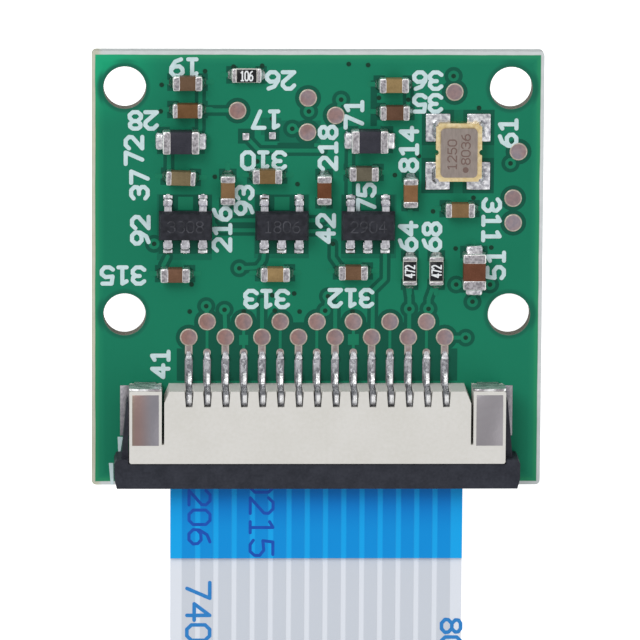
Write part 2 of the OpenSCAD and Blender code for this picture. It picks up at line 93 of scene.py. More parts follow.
# %% Camera
target = Vector((0.17, -2.82, top_z)) * MM
distance = 373 * MM
tip, swing, twist = math.radians(10.3), math.radians(-1.9), math.radians(0.34)
view_way = Vector((math.sin(swing) * math.cos(tip), math.sin(tip), math.cos(tip) * math.cos(swing)))
view_way.normalize()
right_way = Vector((0, 1, 0)).cross(view_way).normalized()
up_way = view_way.cross(right_way)
axes = Matrix((right_way, up_way, view_way)).transposed()
eye = bpy.data.cameras.new("camera")
eye.lens = 384
eye.sensor_width = 36
eye.clip_start = 0.01
eye.clip_end = 10
camera = bpy.data.objects.new("camera", eye)
camera.matrix_world = Matrix.Translation(target + view_way * distance) @ (
    axes @ Matrix.Rotation(twist, 3, "Z")).to_4x4()
bpy.context.scene.collection.objects.link(camera)
bpy.context.scene.camera = camera
print("camera at", [round(v, 3) for v in camera.matrix_world.translation])

# %% [markdown]
# A material is a tree of nodes. It could be wired up node by node, but the sums in it would be hard to
# read, so `Wire` wraps one output of the tree: `1 - mask` or `wave * 0.2 + 0.4` then adds the Math nodes
# it needs, and `node` adds any other kind. `cloudy` makes the plainest finish, one of two close colours.

# %% Shader maths
def signed(operation, reflected=False):
    """A method that adds one Math node. A reflected one has the wire on the right of the sign."""
    def method(self, other=0.0):
        return self.maths(operation, other, self) if reflected else self.maths(operation, self, other)
    return method


class Wire:
    """One output in a material's tree, on which Python's own signs add Math nodes."""

    def __init__(self, tree, socket):
        self.tree = tree
        self.socket = socket

    def node(self, kind, settings=None, values=None, out=0):
        """Adds a node: its settings come first, then the values or links of its sockets."""
        made = self.tree.nodes.new(kind)
        for name, value in (settings or {}).items():
            setattr(made, name, value)
        for name, value in (values or {}).items():
            plug = made.inputs[name]
            if isinstance(value, Wire):
                self.tree.links.new(value.socket, plug)
            else:
                plug.default_value = value
        return Wire(self.tree, made.outputs[out])

    def maths(self, operation, first, second=0.0):
        return self.node("ShaderNodeMath", {"operation": operation}, {0: first, 1: second})

    __add__, __radd__ = signed("ADD"), signed("ADD", reflected=True)
    __sub__, __rsub__ = signed("SUBTRACT"), signed("SUBTRACT", reflected=True)
    __mul__, __rmul__ = signed("MULTIPLY"), signed("MULTIPLY", reflected=True)
    __truediv__ = signed("DIVIDE")
    __pow__ = signed("POWER")
    __lt__ = signed("LESS_THAN")
    __gt__ = signed("GREATER_THAN")
    __abs__ = signed("ABSOLUTE")
    least = signed("MINIMUM")
    most = signed("MAXIMUM")

    def ramp(self, low, high):
        """0 below low, 1 above high and a soft step between them."""
        return self.node("ShaderNodeMapRange", {"interpolation_type": "SMOOTHSTEP"},
                         {"Value": self, "From Min": low, "From Max": high})

    def part(self, axis):
        return self.node("ShaderNodeSeparateXYZ", None, {"Vector": self}, out=axis)

    def noise(self, size, detail=3.0, stretch=(1, 1, 1)):
        """Soft blotches about size metres across, from 0 to 1."""
        place = self.node("ShaderNodeMapping", None, {"Vector": self, "Scale": stretch})
        return self.node("ShaderNodeTexNoise", None, {"Vector": place, "Scale": 1 / size, "Detail": detail})

    def blend(self, first, second):
        """Mixes two colours, each a web code or a wire, with this wire as the factor."""
        first, second = (tone(colour) if isinstance(colour, str) else colour for colour in (first, second))
        return self.node("ShaderNodeMix", {"data_type": "RGBA"}, {0: self, 6: first, 7: second}, out=2)


def tone(code):
    """A colour as written on a web page, turned into the linear numbers that shaders use."""
    channels = [int(code[k:k + 2], 16) / 255 for k in (1, 3, 5)]
    return (*[c / 12.92 if c <= 0.04045 else ((c + 0.055) / 1.055) ** 2.4 for c in channels], 1.0)


def new_material(name, colour, **constants):
    """A Principled material with its constants set, its shader node, and its Object coordinates."""
    material = bpy.data.materials.new(name)
    material.use_nodes = True
    material.diffuse_color = tone(colour)
    tree = material.node_tree
    shader = tree.nodes["Principled BSDF"]
    shader.inputs["Base Color"].default_value = tone(colour)
    shader.inputs["Specular IOR Level"].default_value = 0.15
    for socket, value in constants.items():
        shader.inputs[socket.replace("_", " ")].default_value = value
    place = Wire(tree, tree.nodes.new("ShaderNodeTexCoord").outputs["Object"])
    return material, shader, place


def drive(shader, socket, wire):
    wire.tree.links.new(wire.socket, shader.inputs[socket])


def relief(shader, height, depth):
    """Bumps the surface by a height wire, depth metres deep."""
    drive(shader, "Normal", height.node("ShaderNodeBump", None, {"Height": height, "Distance": depth}))


def cloudy(name, colour, first, second, size, grain=0, depth=0, edges=None, **constants):
    """A plain finish that wanders between two colours. Its blotches, grain and depth are in mm."""
    material, shader, place = new_material(name, colour, **constants)
    cloud = place.noise(size * MM)
    if edges:
        cloud = cloud.ramp(*edges)
    drive(shader, "Base Color", cloud.blend(first, second))
    if grain:
        relief(shader, place.noise(grain * MM), depth * MM)
    return material


print("shader maths ready")

# %% [markdown]
# A new piece is drawn in millimetres in a bmesh. `make_piece` closes its seams, turns its faces
# outwards, scales it to metres, gives it its materials and lets it ride on its body. `dress` gives a
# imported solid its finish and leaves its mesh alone. `soften` rounds edges, as moulds and wear do.

# %% Making pieces
made_pieces = []


def make_piece(name, bm, materials, body="board", stands_for=(), smooth=None):
    """Turns a bmesh drawn in millimetres into a finished piece. smooth is the sharpest smooth angle."""
    bmesh.ops.remove_doubles(bm, verts=bm.verts, dist=1e-5)
    bmesh.ops.recalc_face_normals(bm, faces=bm.faces)
    bmesh.ops.scale(bm, vec=(MM, MM, MM), verts=bm.verts)
    mesh = bpy.data.meshes.new(name)
    bm.to_mesh(mesh)
    bm.free()
    for material in materials:
        mesh.materials.append(material)
    if smooth is not None:
        mesh.shade_smooth()
        mesh.set_sharp_from_angle(angle=math.radians(smooth))
    piece = bpy.data.objects.new(name, mesh)
    bpy.context.scene.collection.objects.link(piece)
    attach(piece, body)
    if stands_for:
        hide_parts(*stands_for)
    made_pieces.append(piece)
    print(f"{name}: {len(mesh.polygons)} faces")
    return piece


def dress(node, material):
    """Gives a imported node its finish, leaving its mesh as it is."""
    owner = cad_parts[node]
    if not owner.material_slots:
        owner.data.materials.append(material)
    for held in owner.material_slots:
        held.material = material


def soften(bm, edges, by, steps):
    bmesh.ops.bevel(bm, geom=edges, offset=by, offset_type="OFFSET", segments=steps, profile=0.5,
                    affect="EDGES", material=-1)


def grow(bm, faces, way):
    """Extrudes faces, moves the new ones by a vector, and returns the new vertices and faces."""
    grown = bmesh.ops.extrude_face_region(bm, geom=faces)["geom"]
    verts = [g for g in grown if isinstance(g, bmesh.types.BMVert)]
    bmesh.ops.translate(bm, verts=verts, vec=way)
    return verts, [g for g in grown if isinstance(g, bmesh.types.BMFace)]


print("piece helpers ready")

# %% [markdown]
# The ribbon cable is a white film over fifteen flat conductors, 150 mm long. It leaves the connector flat,
# bends down to the surface under the module, and the rest of it is folded into a hank held by a paper
# band. A cloth simulation could fold it, but a drawn route always folds the same way. The route is the
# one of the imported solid, as pairs of the distance from the board's near edge and the height.

# %% Ribbon cable's route
ROUTE = [
    (-4.1, 7.3), (-0.5, 7.3), (4, 7.3), (8.5, 7.3), (12, 6.9), (15.5, 5.4), (19, 3.2),
    (22.5, 1.4), (26.5, 0.5), (31.5, 0.3), (40.5, 0.3), (43.5, 0.3), (46, 0.4), (49, 0.9),
    (51.5, 1.6), (54, 2.4), (55.8, 3.4), (56.3, 4.9), (55.4, 6.3), (53.2, 6.8), (50.4, 5.8),
    (47.8, 3.6), (45.5, 1.5), (43.5, 0.75), (40.5, 0.75), (38.4, 1.3), (35.5, 2.8), (31.6, 4.4),
    (28.3, 6.2), (26.6, 8.6), (27.4, 11), (30, 12), (32.9, 10.6), (36, 7.2), (38.6, 3),
    (40.5, 1.2), (43.5, 1.2), (45.3, 2.5), (48.2, 5.8), (51.6, 8), (55.5, 9), (59.5, 9.2),
    (67.5, 9.2),
]
ribbon_w = 16
ribbon_t = 0.15
pitch = 1.0
ways = 15
near_y = -half_h


def smooth_route(points, steps):
    """A smooth line through the points: each stretch is bent by its neighbours."""
    line = []
    ends = [points[0], *points, points[-1]]
    for before, start, end, after in zip(ends, ends[1:], ends[2:], ends[3:]):
        reach = (end - start).length
        lead = start + (end - before).normalized() * reach * 0.3
        trail = end - (after - start).normalized() * reach * 0.3
        for k in range(steps):
            t = k / steps
            line.append((1 - t) ** 3 * start + 3 * t * (1 - t) ** 2 * lead
                        + 3 * t * t * (1 - t) * trail + t ** 3 * end)
    return [*line, points[-1]]


ribbon_line = smooth_route([Vector((0, near_y - out, up)) for out, up in ROUTE], 4)
ribbon_length = sum((b - a).length for a, b in zip(ribbon_line, ribbon_line[1:]))
print(f"ribbon: {len(ribbon_line)} points, {ribbon_length:.1f} mm long")

# %% [markdown]
# Looked at closely, the film is lighter between the conductors than over them, and plain at both edges.
# The stripes run along the ribbon, so they are worked out from the distance across it alone, and need
# no image and no UV map. The stiffener is the same film in blue, with a painted shade where the latch
# overhangs it.

# %% Ribbon's finish
WAY_SHIFT = 32.5  # puts a way's middle at one half and keeps the number positive


def along_way(place):
    """Where a point lies across its own way, from -0.5 to 0.5."""
    ways_across = place.part("X") / (pitch * MM)
    return ways_across.maths("FRACT", ways_across + WAY_SHIFT) - 0.5


def conductor_stripes(place, half_width):
    """1 over a conductor and 0 between two, from the place across the ribbon."""
    stripe = 1 - abs(along_way(place)).ramp(half_width - 0.04, half_width + 0.04)
    return stripe * (abs(place.part("X")) < (ways / 2) * pitch * MM)


ribbon_film, shader, place = new_material("ribbon_film", "#ccd1dc", Roughness=0.38, Specular_IOR_Level=0.25)
stripe = conductor_stripes(place, 0.36)
cloud = place.noise(6 * MM)
drive(shader, "Base Color", (stripe * 0.92 + cloud * 0.08).blend("#e2e7f0", "#cbd1db"))
relief(shader, stripe + place.noise(0.4 * MM) * 0.15, 0.02 * MM)
stiffener_film, shader, place = new_material(
    "stiffener_film", "#1a94df", Roughness=0.3, Specular_IOR_Level=0.1)
stripe = conductor_stripes(place, 0.36)
light_blue = place.noise(5 * MM).blend("#1ba9ef", "#16a4ec")
shade_blue = place.noise(3 * MM).blend("#108edc", "#1393de")
shaded = 2.6
# Painted shade: the stiffener is darkened towards deep blue over its first 2.6 mm, where the latch overhangs
# it.
latch_painted_shade = 1 - (place.part("Y") * -1).ramp(-near_y * MM, (shaded - near_y) * MM)
drive(shader, "Base Color",
      (latch_painted_shade * (0.25 + stripe * 0.3)).blend(stripe.blend(light_blue, shade_blue), "#0a58b8"))
relief(shader, stripe, 0.015 * MM)
print("ribbon_film and stiffener_film made")

# %% [markdown]
# The film is drawn as one closed shell. Its side edge is a strip of small faces along the route, as high
# as the film is thick, and this strip is extruded across the width in eight steps. A curve with a
# flat profile would do as well, but this way the film's thickness is exact.

# %% Ribbon cable
bm = bmesh.new()
upper, lower = [], []
befores, afters = [ribbon_line[0], *ribbon_line], [*ribbon_line[1:], ribbon_line[-1]]
for before, at, after in zip(befores, ribbon_line, afters):
    square_on = Vector((1, 0, 0)).cross(before - after).normalized() * (ribbon_t / 2)
    upper.append(bm.verts.new(at + square_on))
    lower.append(bm.verts.new(at - square_on))
strip = [bm.faces.new(corners) for corners in zip(upper, upper[1:], lower[1:], lower)]
bmesh.ops.translate(bm, verts=bm.verts, vec=(-ribbon_w / 2, 0, 0))
for step in range(8):
    strip = grow(bm, strip, (ribbon_w / 8, 0, 0))[1]
ribbon = make_piece("ribbon", bm, [ribbon_film], stands_for=["ribbon_cable"], smooth=40)
dress("stiffener_near", stiffener_film)
dress("stiffener_far", stiffener_film)

# %% [markdown]
# The far end of the ribbon has bare tinned conductors under a blue stiffener, and a strip of paper
# holds the hank. Metals share one recipe: a bright base, cloudy roughness and a fine bump. Bare metals
# would need a detailed room to mirror, and the cloudy base colour stands in for it.

# %% Metals and the band
def metal(name, light, dark, rough, grain, depth, stretch=(1, 1, 1)):
    material, shader, place = new_material(name, light, Metallic=1.0)
    streak = place.noise(grain, 4.0, stretch)
    cloud = place.noise(grain * 5)
    drive(shader, "Base Color", (streak * 0.7 + cloud * 0.3).ramp(0.3, 0.7).blend(dark, light))
    drive(shader, "Roughness", rough + streak * 0.18)
    relief(shader, streak, depth * MM)
    return material


tin = metal("tin", "#e4e4ea", "#a3a2a8", 0.2, 0.12 * MM, 0.012, (1, 0.35, 1))
solder = metal("solder", "#f6f6f8", "#8f8f98", 0.12, 0.22 * MM, 0.03)
gold = metal("gold", "#f0dfb4", "#d9bf88", 0.25, 0.2 * MM, 0.006)
lid_metal = metal("lid_metal", "#9c918b", "#8e847e", 0.34, 0.1 * MM, 0.003, (1, 0.2, 1))
band_paper = cloudy("band_paper", "#e6e3da", "#eeebe3", "#dcd8cd", 1, 0.15, 0.01, Roughness=0.7)


def flat_top(place):
    """1 where a surface lies flat and faces up, 0 on a rounded or upright one."""
    facing = Wire(place.tree, place.tree.nodes.new("ShaderNodeTexCoord").outputs["Normal"])
    return facing.part("Z").ramp(0.8, 0.97)


dress("ribbon_contacts", tin)
dress("ribbon_band", band_paper)
print("metals and band made")

# %% [markdown]
# The ribbon carries a printed type line on the real cable. Here plain numbers stand in its place. A digit
# is a few strokes of even width with round ends, so one small stroke alphabet serves the cable, the board's
# legend, the resistors and the chips. Overlapping strokes are joined into one flat area before they
# get their thickness.

# %% Flat shapes and plain digits
DIGITS = {
    "0": [[(0.2, 1), (0.5, 1), (0.7, 0.8), (0.7, 0.2), (0.5, 0), (0.2, 0), (0, 0.2), (0, 0.8), (0.2, 1)]],
    "1": [[(0.12, 0.85), (0.38, 1), (0.38, 0)], [(0.12, 0), (0.62, 0)]],
    "2": [[(0, 0.8), (0.2, 1), (0.5, 1), (0.7, 0.8), (0.68, 0.6), (0, 0), (0.7, 0)]],
    "3": [[(0, 0.85), (0.2, 1), (0.5, 1), (0.7, 0.8), (0.68, 0.62), (0.5, 0.53), (0.28, 0.53)],
          [(0.5, 0.53), (0.7, 0.38), (0.7, 0.2), (0.5, 0), (0.2, 0), (0, 0.15)]],
    "4": [[(0.52, 0), (0.52, 1), (0, 0.32), (0.74, 0.32)]],
    "5": [[(0.64, 1), (0.08, 1), (0.02, 0.56), (0.45, 0.6), (0.68, 0.42), (0.68, 0.2), (0.5, 0), (0.2, 0),
           (0, 0.14)]],
    "6": [[(0.6, 1), (0.25, 0.86), (0.02, 0.5), (0, 0.2), (0.2, 0), (0.5, 0), (0.7, 0.2), (0.68, 0.42),
           (0.5, 0.58), (0.2, 0.56), (0.02, 0.4)]],
    "7": [[(0, 1), (0.7, 1), (0.26, 0)]],
    "8": [[(0.22, 0.54), (0.5, 0.54), (0.68, 0.72), (0.66, 0.88), (0.5, 1), (0.2, 1), (0.04, 0.88),
           (0.03, 0.72), (0.22, 0.54), (0.02, 0.36), (0, 0.18), (0.2, 0), (0.5, 0), (0.7, 0.18),
           (0.68, 0.36), (0.5, 0.54)]],
}
DIGITS["9"] = [[(0.7 - x, 1 - y) for x, y in stroke] for stroke in DIGITS["6"]]
DIGIT_WIDE, DIGIT_STEP = 0.7, 0.95


def disc(x, y, r, steps=20):
    turn = math.tau / steps
    return [(x + r * math.cos(turn * k), y + r * math.sin(turn * k)) for k in range(steps)]


def block(x0, y0, x1, y1):
    return [(x0, y0), (x1, y0), (x1, y1), (x0, y1)]


def bar(start, end, width):
    """A straight stroke with round ends."""
    lean = math.atan2(end[1] - start[1], end[0] - start[0]) - math.pi / 2
    rounding = [(end, k) for k in range(7)] + [(start, k) for k in range(6, 13)]
    turns = [(at, lean + math.pi * k / 6) for at, k in rounding]
    return [(at[0] + width / 2 * math.cos(turn), at[1] + width / 2 * math.sin(turn)) for at, turn in turns]


def track(points, width):
    return [bar(a, b, width) for a, b in zip(points, points[1:])]


def spun(degrees):
    return Matrix.Rotation(math.radians(degrees), 2)


def number(text, place, turn, height, stroke, narrow=1.0):
    """Outlines of a plain number, centred on its place and turned by so many degrees."""
    shapes = []
    spin = spun(turn)
    middle = Vector(((len(text) - 1) * DIGIT_STEP + DIGIT_WIDE, 1)) / 2
    for k, digit in enumerate(text):
        for line in DIGITS[digit]:
            drawn = [(Vector((x + k * DIGIT_STEP, y)) - middle) * height for x, y in line]
            points = [Vector(place) + spin @ Vector((p.x * narrow, p.y)) for p in drawn]
            shapes += track([tuple(p) for p in points], stroke)
    return shapes


def plate(name, shapes, surface, rise, material, sunk=0.02):
    """A thin plate that covers all the shapes together, sunk a little into a surface."""
    corners = [Vector(p) for shape in shapes for p in shape]
    faces, start = [], 0
    for shape in shapes:
        faces.append(list(range(start, start + len(shape))))
        start += len(shape)
    flat = delaunay_2d_cdt(corners, [], faces, 1, 1e-6)
    bm = bmesh.new()
    verts = [bm.verts.new((*p, surface - sunk)) for p in flat[0]]
    for face, covered_by in zip(flat[2], flat[5]):
        if covered_by:
            bm.faces.new([verts[k] for k in face])
    grow(bm, bm.faces[:], (0, 0, (surface + rise) - (surface - sunk)))
    return make_piece(name, bm, [material])


print(f"{len(DIGITS)} digits ready")

# %% [markdown]
# The board is glass-fibre laminate under a green mask. Where copper lies under the mask it is lighter,
# and the mask stops short of the milled edge, which stays bare. The bare margin, the lighter rim inside
# it and the rings round the screw holes are all worked out from distances, in millimetres, in the
# material. They could be thin pieces of their own, but the mask has no thickness that shows.

# %% Board's finish
board_mask, shader, place = new_material("board_mask", "#1b7a5c", Roughness=0.36, Specular_IOR_Level=0.08)
x, y, z = (place.part(axis) / MM for axis in "XYZ")
wander = place.noise(3 * MM) * 0.08 - 0.04
inwards = (half_w - abs(x)).least(half_h - abs(y)) + wander
hole_gap = abs(x) - hole_x
far_ring, near_ring = ((hole_gap * hole_gap + (y - at) * (y - at)) ** 0.5 for at in (hole_far, hole_near))
ring = far_ring.least(near_ring) - hole_r
faces_up = 1 - (z > under_z + 0.004) * (z < top_z - 0.004)
mask = inwards.ramp(0.17, 0.22) * faces_up * ring.ramp(0.0, 0.03)
pour = inwards.ramp(0.45, 0.75) * ring.ramp(0.1, 0.32)
corner = ((x + half_w) ** 2 + (half_h - y) ** 2) ** 0.5
glow = (1 - corner.ramp(0.3, 4.6)) * 0.8
broad = place.noise(9 * MM, 1.0)
fine = place.noise(0.35 * MM, 2.0)
copper_green = (broad * 0.85 + fine * 0.15).blend("#187357", "#1c8061")
lit_green = glow.blend(copper_green, "#1ca878")
rim_green = inwards.ramp(0.3, 0.5).blend("#2a8a62", "#1f8060")
bare_green = ring.ramp(0.2, 0.5).blend("#1a6650", glow.blend(rim_green, "#20ac7c"))
threads = place.noise(0.5 * MM, 4.0, (1, 1, 6))
left_side = (x + half_w).ramp(0.6, 0.3)
cool_glass = threads.blend("#dbe0e0", "#bcc2c3")
warm_glass = threads.blend("#cfceb4", "#b3b197")
laminate = left_side.blend(cool_glass, warm_glass)
plies = abs(z.maths("FRACT", z * 3 + wander * 4 + 0.2) - 0.5).ramp(0.36, 0.46) * (1 - faces_up)
laminate = (plies * 0.55).blend(laminate, "#77776f")
dusty = (place.noise(2 * MM) * 0.5).blend(laminate, "#c9cfcf")
# Painted shade: the screw holes' bare walls and lips are painted a dark olive grey; the milled sides keep the
# laminate's colours.
edge_and_hole_shade = ring.ramp(0.0, 0.05).blend("#6f6c60", dusty)
drive(shader, "Base Color", mask.blend(edge_and_hole_shade, pour.blend(bare_green, lit_green)))
drive(shader, "Roughness", 0.62 - mask * 0.26 + fine * 0.06)
weave = x.maths("SINE", x * 12.5) * y.maths("SINE", y * 12.5)
relief(shader, mask * 0.6 + pour * 1.0 + weave * 0.04 + fine * 0.1, 0.02 * MM)
dress("circuit_board", board_mask)
MASK = {"Roughness": 0.36, "Specular_IOR_Level": 0.08}
gap_mask = cloudy("gap_mask", "#155a48", "#124f3f", "#175e4a", 4, 0.35, 0.004, **MASK)
quiet_mask = cloudy("quiet_mask", "#196c54", "#17654e", "#1a7057", 4, 0.35, 0.004, **MASK)
copper_mask = cloudy("copper_mask", "#1d7d5d", "#1a7357", "#208261", 5, 0.35, 0.004,
                     **{**MASK, "Roughness": 0.34})
print("board finish made")

# %% [markdown]
# The small parts repeat: fourteen small capacitors, three large parts of one size and three flat resistors.
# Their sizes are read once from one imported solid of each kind, and a table says which of them stand
# upright, that is along the board. The copper, the finished chips and their solder all use it.

# %% Where the parts stand
def middle_of(node):
    low, high = box_mm(node)
    return (low + high) / 2


def size_of(node):
    low, high = box_mm(node)
    return high - low


SMALL, BIG, FLAT = (size_of(node) for node in ("capacitor_1", "inductor_left", "resistor_1"))
UPRIGHT = ("capacitor_6", "capacitor_8", "capacitor_10", "capacitor_15", "resistor_2", "resistor_3")
sizes = {f"capacitor_{order}": SMALL for order in range(1, 16)}
sizes |= {f"resistor_{order}": FLAT for order in (1, 2, 3)}
CHIPS = {node: (size, 90 if node in UPRIGHT else 0) for node, size in sizes.items()}
CHIPS["capacitor_15"] = (BIG, 90)
CHIPS["inductor_left"] = CHIPS["inductor_right"] = (BIG, 0)
CHIPS["capacitor_5"] = (SMALL, -2)
REGULATORS = ("left", "middle", "right")
print(f"{len(CHIPS)} chip parts, {len(REGULATORS)} regulators")

# %% [markdown]
# The copper's layout follows the parts. A track is a light line in a darker gap, a ring of gap surrounds
# each pad and most vias, and each soldered end sits in its own clearing with a narrow bridge to the copper.
# An image could carry all this, but drawn shapes stay sharp. All gaps are one thin plate, and tracks,
# bridges and islands are a second one just above it. Places are in millimetres from the board's middle.

# %% Where copper and gaps lie
TRACKS = [
    [(-6.4, 9.8), (-6.4, 7.7)], [(-6.4, 8.75), (-4.35, 8.75)], [(-8.1, 6.4), (-8.1, 5.2)],
    [(-3.95, 7.35), (-3.2, 6.55), (0.25, 6.55)], [(1.75, 6.6), (1.75, 3.3)], [(-5.3, 2.7), (-3.3, 2.7)],
    [(-5.3, 2.15), (-3.3, 2.15)], [(-0.6, 2.7), (0.3, 2.7)], [(-0.6, 2.1), (0.4, 2.1)],
    [(-8.15, 0.7), (-8.4, 0.2)], [(-2.9, 0.9), (-2.95, 0.5), (-3.25, 0.1), (-4.25, 0.05)],
    [(0.85, 1.4), (0.85, 0.65), (1.25, 0.1)], [(3.7, 0.8), (3.7, -0.55), (3.05, -1.2), (3.05, -3.5)],
    [(-3, -1.7), (-3, -3.5)], [(1, -2.1), (1, -3.5)], [(4.95, -0.95), (5.05, -1.6), (5.05, -3.4)],
    [(6.35, -0.95), (6.1, -1.65), (6.1, -2.5)], [(7.3, -3.8), (8.15, -3.8)], [(-5.05, -2.25), (-5, -3.5)],
    [(-6.05, -2.05), (-6, -2.7)], [(1.25, 9.35), (0.96, 8.5)], [(0.6, -1.5), (0.45, -2.3), (0, -2.9)],
    [(-0.55, 9.4), (-0.5, 8.7)], [(-1.4, 7.75), (-0.6, 7.55)], [(8.6, -0.9), (8.5, -1.8)],
    [(4.9, 9.9), (4.9, 8.6)], [(2.0, 5.4), (1.75, 5.0)],
]
CLEARINGS = [
    block(-2.2, 6.72, 0.1, 6.98), block(2.85, 7.9, 3.2, 10.4), block(-6.7, -6.2, 6.7, -2.95),
    block(-4.35, 6.93, -3.45, 7.75), block(-2.9, 7.05, -2.1, 7.72),
    block(-7.65, -6.2, 7.7, -4.4), block(-4.5, 2.0, -3.4, 2.85),
]
QUIET = [
    block(-2.1, 6.75, 0.15, 8.2), block(-3.1, 7.4, -2.0, 8.35), block(5.65, 5.8, 9.6, 7.2),
    block(7.0, 4.2, 8.3, 8.8), block(-8.75, 0.5, -5.75, 4.15), block(-3.45, 0.6, -0.45, 4.15),
    block(1.3, 0.6, 4.3, 4.15),
]
CORNER_PADS = [(x0, y0, x1, y1) for x0, x1 in ((5.85, 7.2), (8.1, 9.4))
               for y0, y1 in ((4.4, 5.95), (7.05, 8.6))]
ISLANDS = [
    block(-4.25, -4.2, -3.75, -3.65), block(1.7, -4.2, 2.3, -3.6), block(-0.2, 6.75, 0.15, 6.95),
]
RINGED_VIAS = [
    (1.25, 9.35), (-1.4, 7.75), (-0.5, 8.7), (7.35, 10.65), (10.5, 5.85), (8.15, -3.8), (8.5, -1.8),
    (-6.05, -2.05), (-5.05, -2.25), (-4.25, 0.05), (0.6, -1.5), (0.45, -2.3), (5.05, -2.2), (6.1, -2.2),
    (7.6, -0.85), (9.45, -0.85), (-8.9, 1.4),
]
VIAS = RINGED_VIAS + [
    (-8.5, 10.15), (-8.55, 8.7), (-6.15, 10.9), (-4.6, 11.15), (-3.05, 11.2), (-2.5, 8.3), (-3.3, 5.95),
    (-5.6, 5.1), (-1.1, 4.7), (1.65, 11.3), (2.7, 11.25), (3.3, 9.45), (4.9, 9.35), (8.75, 8.9),
    (4.2, 5.2), (5.5, 6.25), (6.3, 3.2), (8.5, 3.95), (0.85, 1.4), (7.55, 1.15), (9.5, 1.2),
    (1.95, -2.35), (-6.85, -0.85), (-6.95, -2.35), (-4, -2.35), (-2.45, -1.45), (-1.25, -1.35),
    (-2.3, -2.3), (-0.95, -2.35), (-9, -6.4),
]
TEST_PADS = [
    (-4.38, 8.74), (-0.55, 9.44), (-0.57, 7.56), (0.96, 8.48), (7.42, 9.77), (10.93, 6.5),
    (10.66, 3.93), (10.68, 2.57),
]
pad_r = 0.49
ways_out = range(-(ways // 2), ways // 2 + 1)
upper_row = [(way, -2.91) for way in ways_out[1::2]]
lower_row = [(way, -3.78) for way in ways_out[::2]]
tail_pad_y, toe_y = -4.6, -4.95
print(len(TRACKS), "tracks,", len(VIAS), "vias,", len(TEST_PADS + upper_row + lower_row), "bare pads")

# %% [markdown]
# The clearing round a soldered end is worked out from the part's size and turn, so it is the same
# for all parts of a kind. Each area gets the mask's own finish in a darker or lighter green.

# %% Gaps and tracks
track_w, gap_w, stem_w, via_r = 0.22, 0.19, 0.16, 0.3
gaps = [shape for line in TRACKS for shape in track(line, track_w + 2 * gap_w)] + CLEARINGS
gaps += [disc(*at, via_r + 0.2) for at in RINGED_VIAS]
gaps += [block(x0 - 0.2, y0 - 0.2, x1 + 0.2, y1 + 0.2) for x0, y0, x1, y1 in CORNER_PADS]
gaps += [disc(*at, pad_r + gap_w + 0.03) for at in TEST_PADS + upper_row + lower_row]
copper = [shape for line in TRACKS for shape in track(line, track_w)] + ISLANDS
copper += [disc(*at, via_r) for at in RINGED_VIAS]
copper += [shape for at in upper_row for shape in track([at, (at[0], tail_pad_y)], stem_w)]
for node, (size, turn) in CHIPS.items():
    at = middle_of(node)
    spin = spun(turn)
    for side in (-1, 1):
        clear = block(side * size.x * 0.3, -size.y * 0.6, side * (size.x / 2 + 0.3), size.y * 0.6)
        bridge = track([(side * size.x * 0.45, 0), (side * (size.x / 2 + 0.5), 0)], 0.26)[0]
        clear = clear if side > 0 else clear[::-1]
        gaps.append([tuple(at.xy + spin @ Vector(p)) for p in clear])
        copper.append([tuple(at.xy + spin @ Vector(p)) for p in bridge])
for name in REGULATORS:
    low, high = box_mm(f"regulator_leads_{name}")
    gaps.append(block(low.x - 0.3, low.y - 0.25, high.x + 0.3, high.y + 0.2))
    copper.append(block((low.x + high.x) / 2 - 0.4, high.y - 0.62, (low.x + high.x) / 2 + 0.42, high.y + 0.1))
plate("quiet_zones", QUIET, top_z, 0.002, quiet_mask)
plate("copper_gaps", gaps, top_z, 0.004, gap_mask)
plate("copper_tracks", copper, top_z, 0.016, copper_mask)

# %% [markdown]
# Vias are small plated holes that the mask nearly fills. They are drawn as a dark spot in a paler
# ring. The white legend is printed on top. On this part it is plain numbers, set the way the parts
# lie, in the same even strokes as before. A text object would give the same digits, but its strokes
# are sharp, where ink runs round at the ends. Two last strokes are half hidden by the connector.

# %% Vias and legend
via_dark = cloudy("via_dark", "#0d3326", "#0a2c20", "#15402f", 0.1, Roughness=0.5)
legend_print = cloudy("legend_print", "#c8dde0", "#bfd8da", "#cfe3e6", 0.5, 0.12, 0.006, (0.25, 0.75),
                      Roughness=0.55)
LEGEND = [
    ((-7.25, 11.1), 180, "19"), ((-2.05, 10.4), 180, "26"), ((-9.5, 8.2), 180, "28"),
    ((-2.8, 8.25), 180, "17"), ((-2.95, 6.0), 180, "310"), ((-10.6, -0.35), 180, "315"),
    ((-2.75, -1.65), 180, "313"), ((1.85, -1.6), 180, "312"), ((5.95, 10.4), 180, "36"),
    ((5.95, 9.15), 180, "35"),
    ((-10.0, 6.55), 90, "72"), ((-9.7, 4.65), 90, "37"), ((-9.65, 2.15), 90, "92"), ((-4.0, 3.8), 90, "93"),
    ((-5.2, 2.2), 90, "216"), ((-8.55, -5.25), 90, "41"), ((9.75, 0.25), 90, "51"), ((10.35, 7.55), 90, "61"),
    ((4.95, 6.6), 90, "814"), ((2.65, 3.95), 90, "75"), ((0.45, 2.25), 90, "42"), ((0.55, 6.7), 90, "218"),
    ((1.95, 8.55), 90, "71"), ((4.95, 1.8), 90, "64"), ((6.25, 1.8), 90, "68"), ((9.5, 2.7), -90, "311"),
]
digit_h, ink_w, via_hole_r = 0.9, 0.225, 0.13
legend = [shape for at, turn, text in LEGEND for shape in number(text, at, turn, digit_h, ink_w)]
legend += [[(-10.88, -9.32), (-10.83, -10.62), (-10.78, -10.62), (-10.6, -9.32)],
           [(-11.36, -10.78), (-11.26, -11.98), (-11.1, -11.98), (-11.12, -10.78)]]
plate("vias", [disc(*at, via_hole_r, 12) for at in VIAS], top_z, 0.02, via_dark)
plate("legend", legend, top_z, 0.03, legend_print)
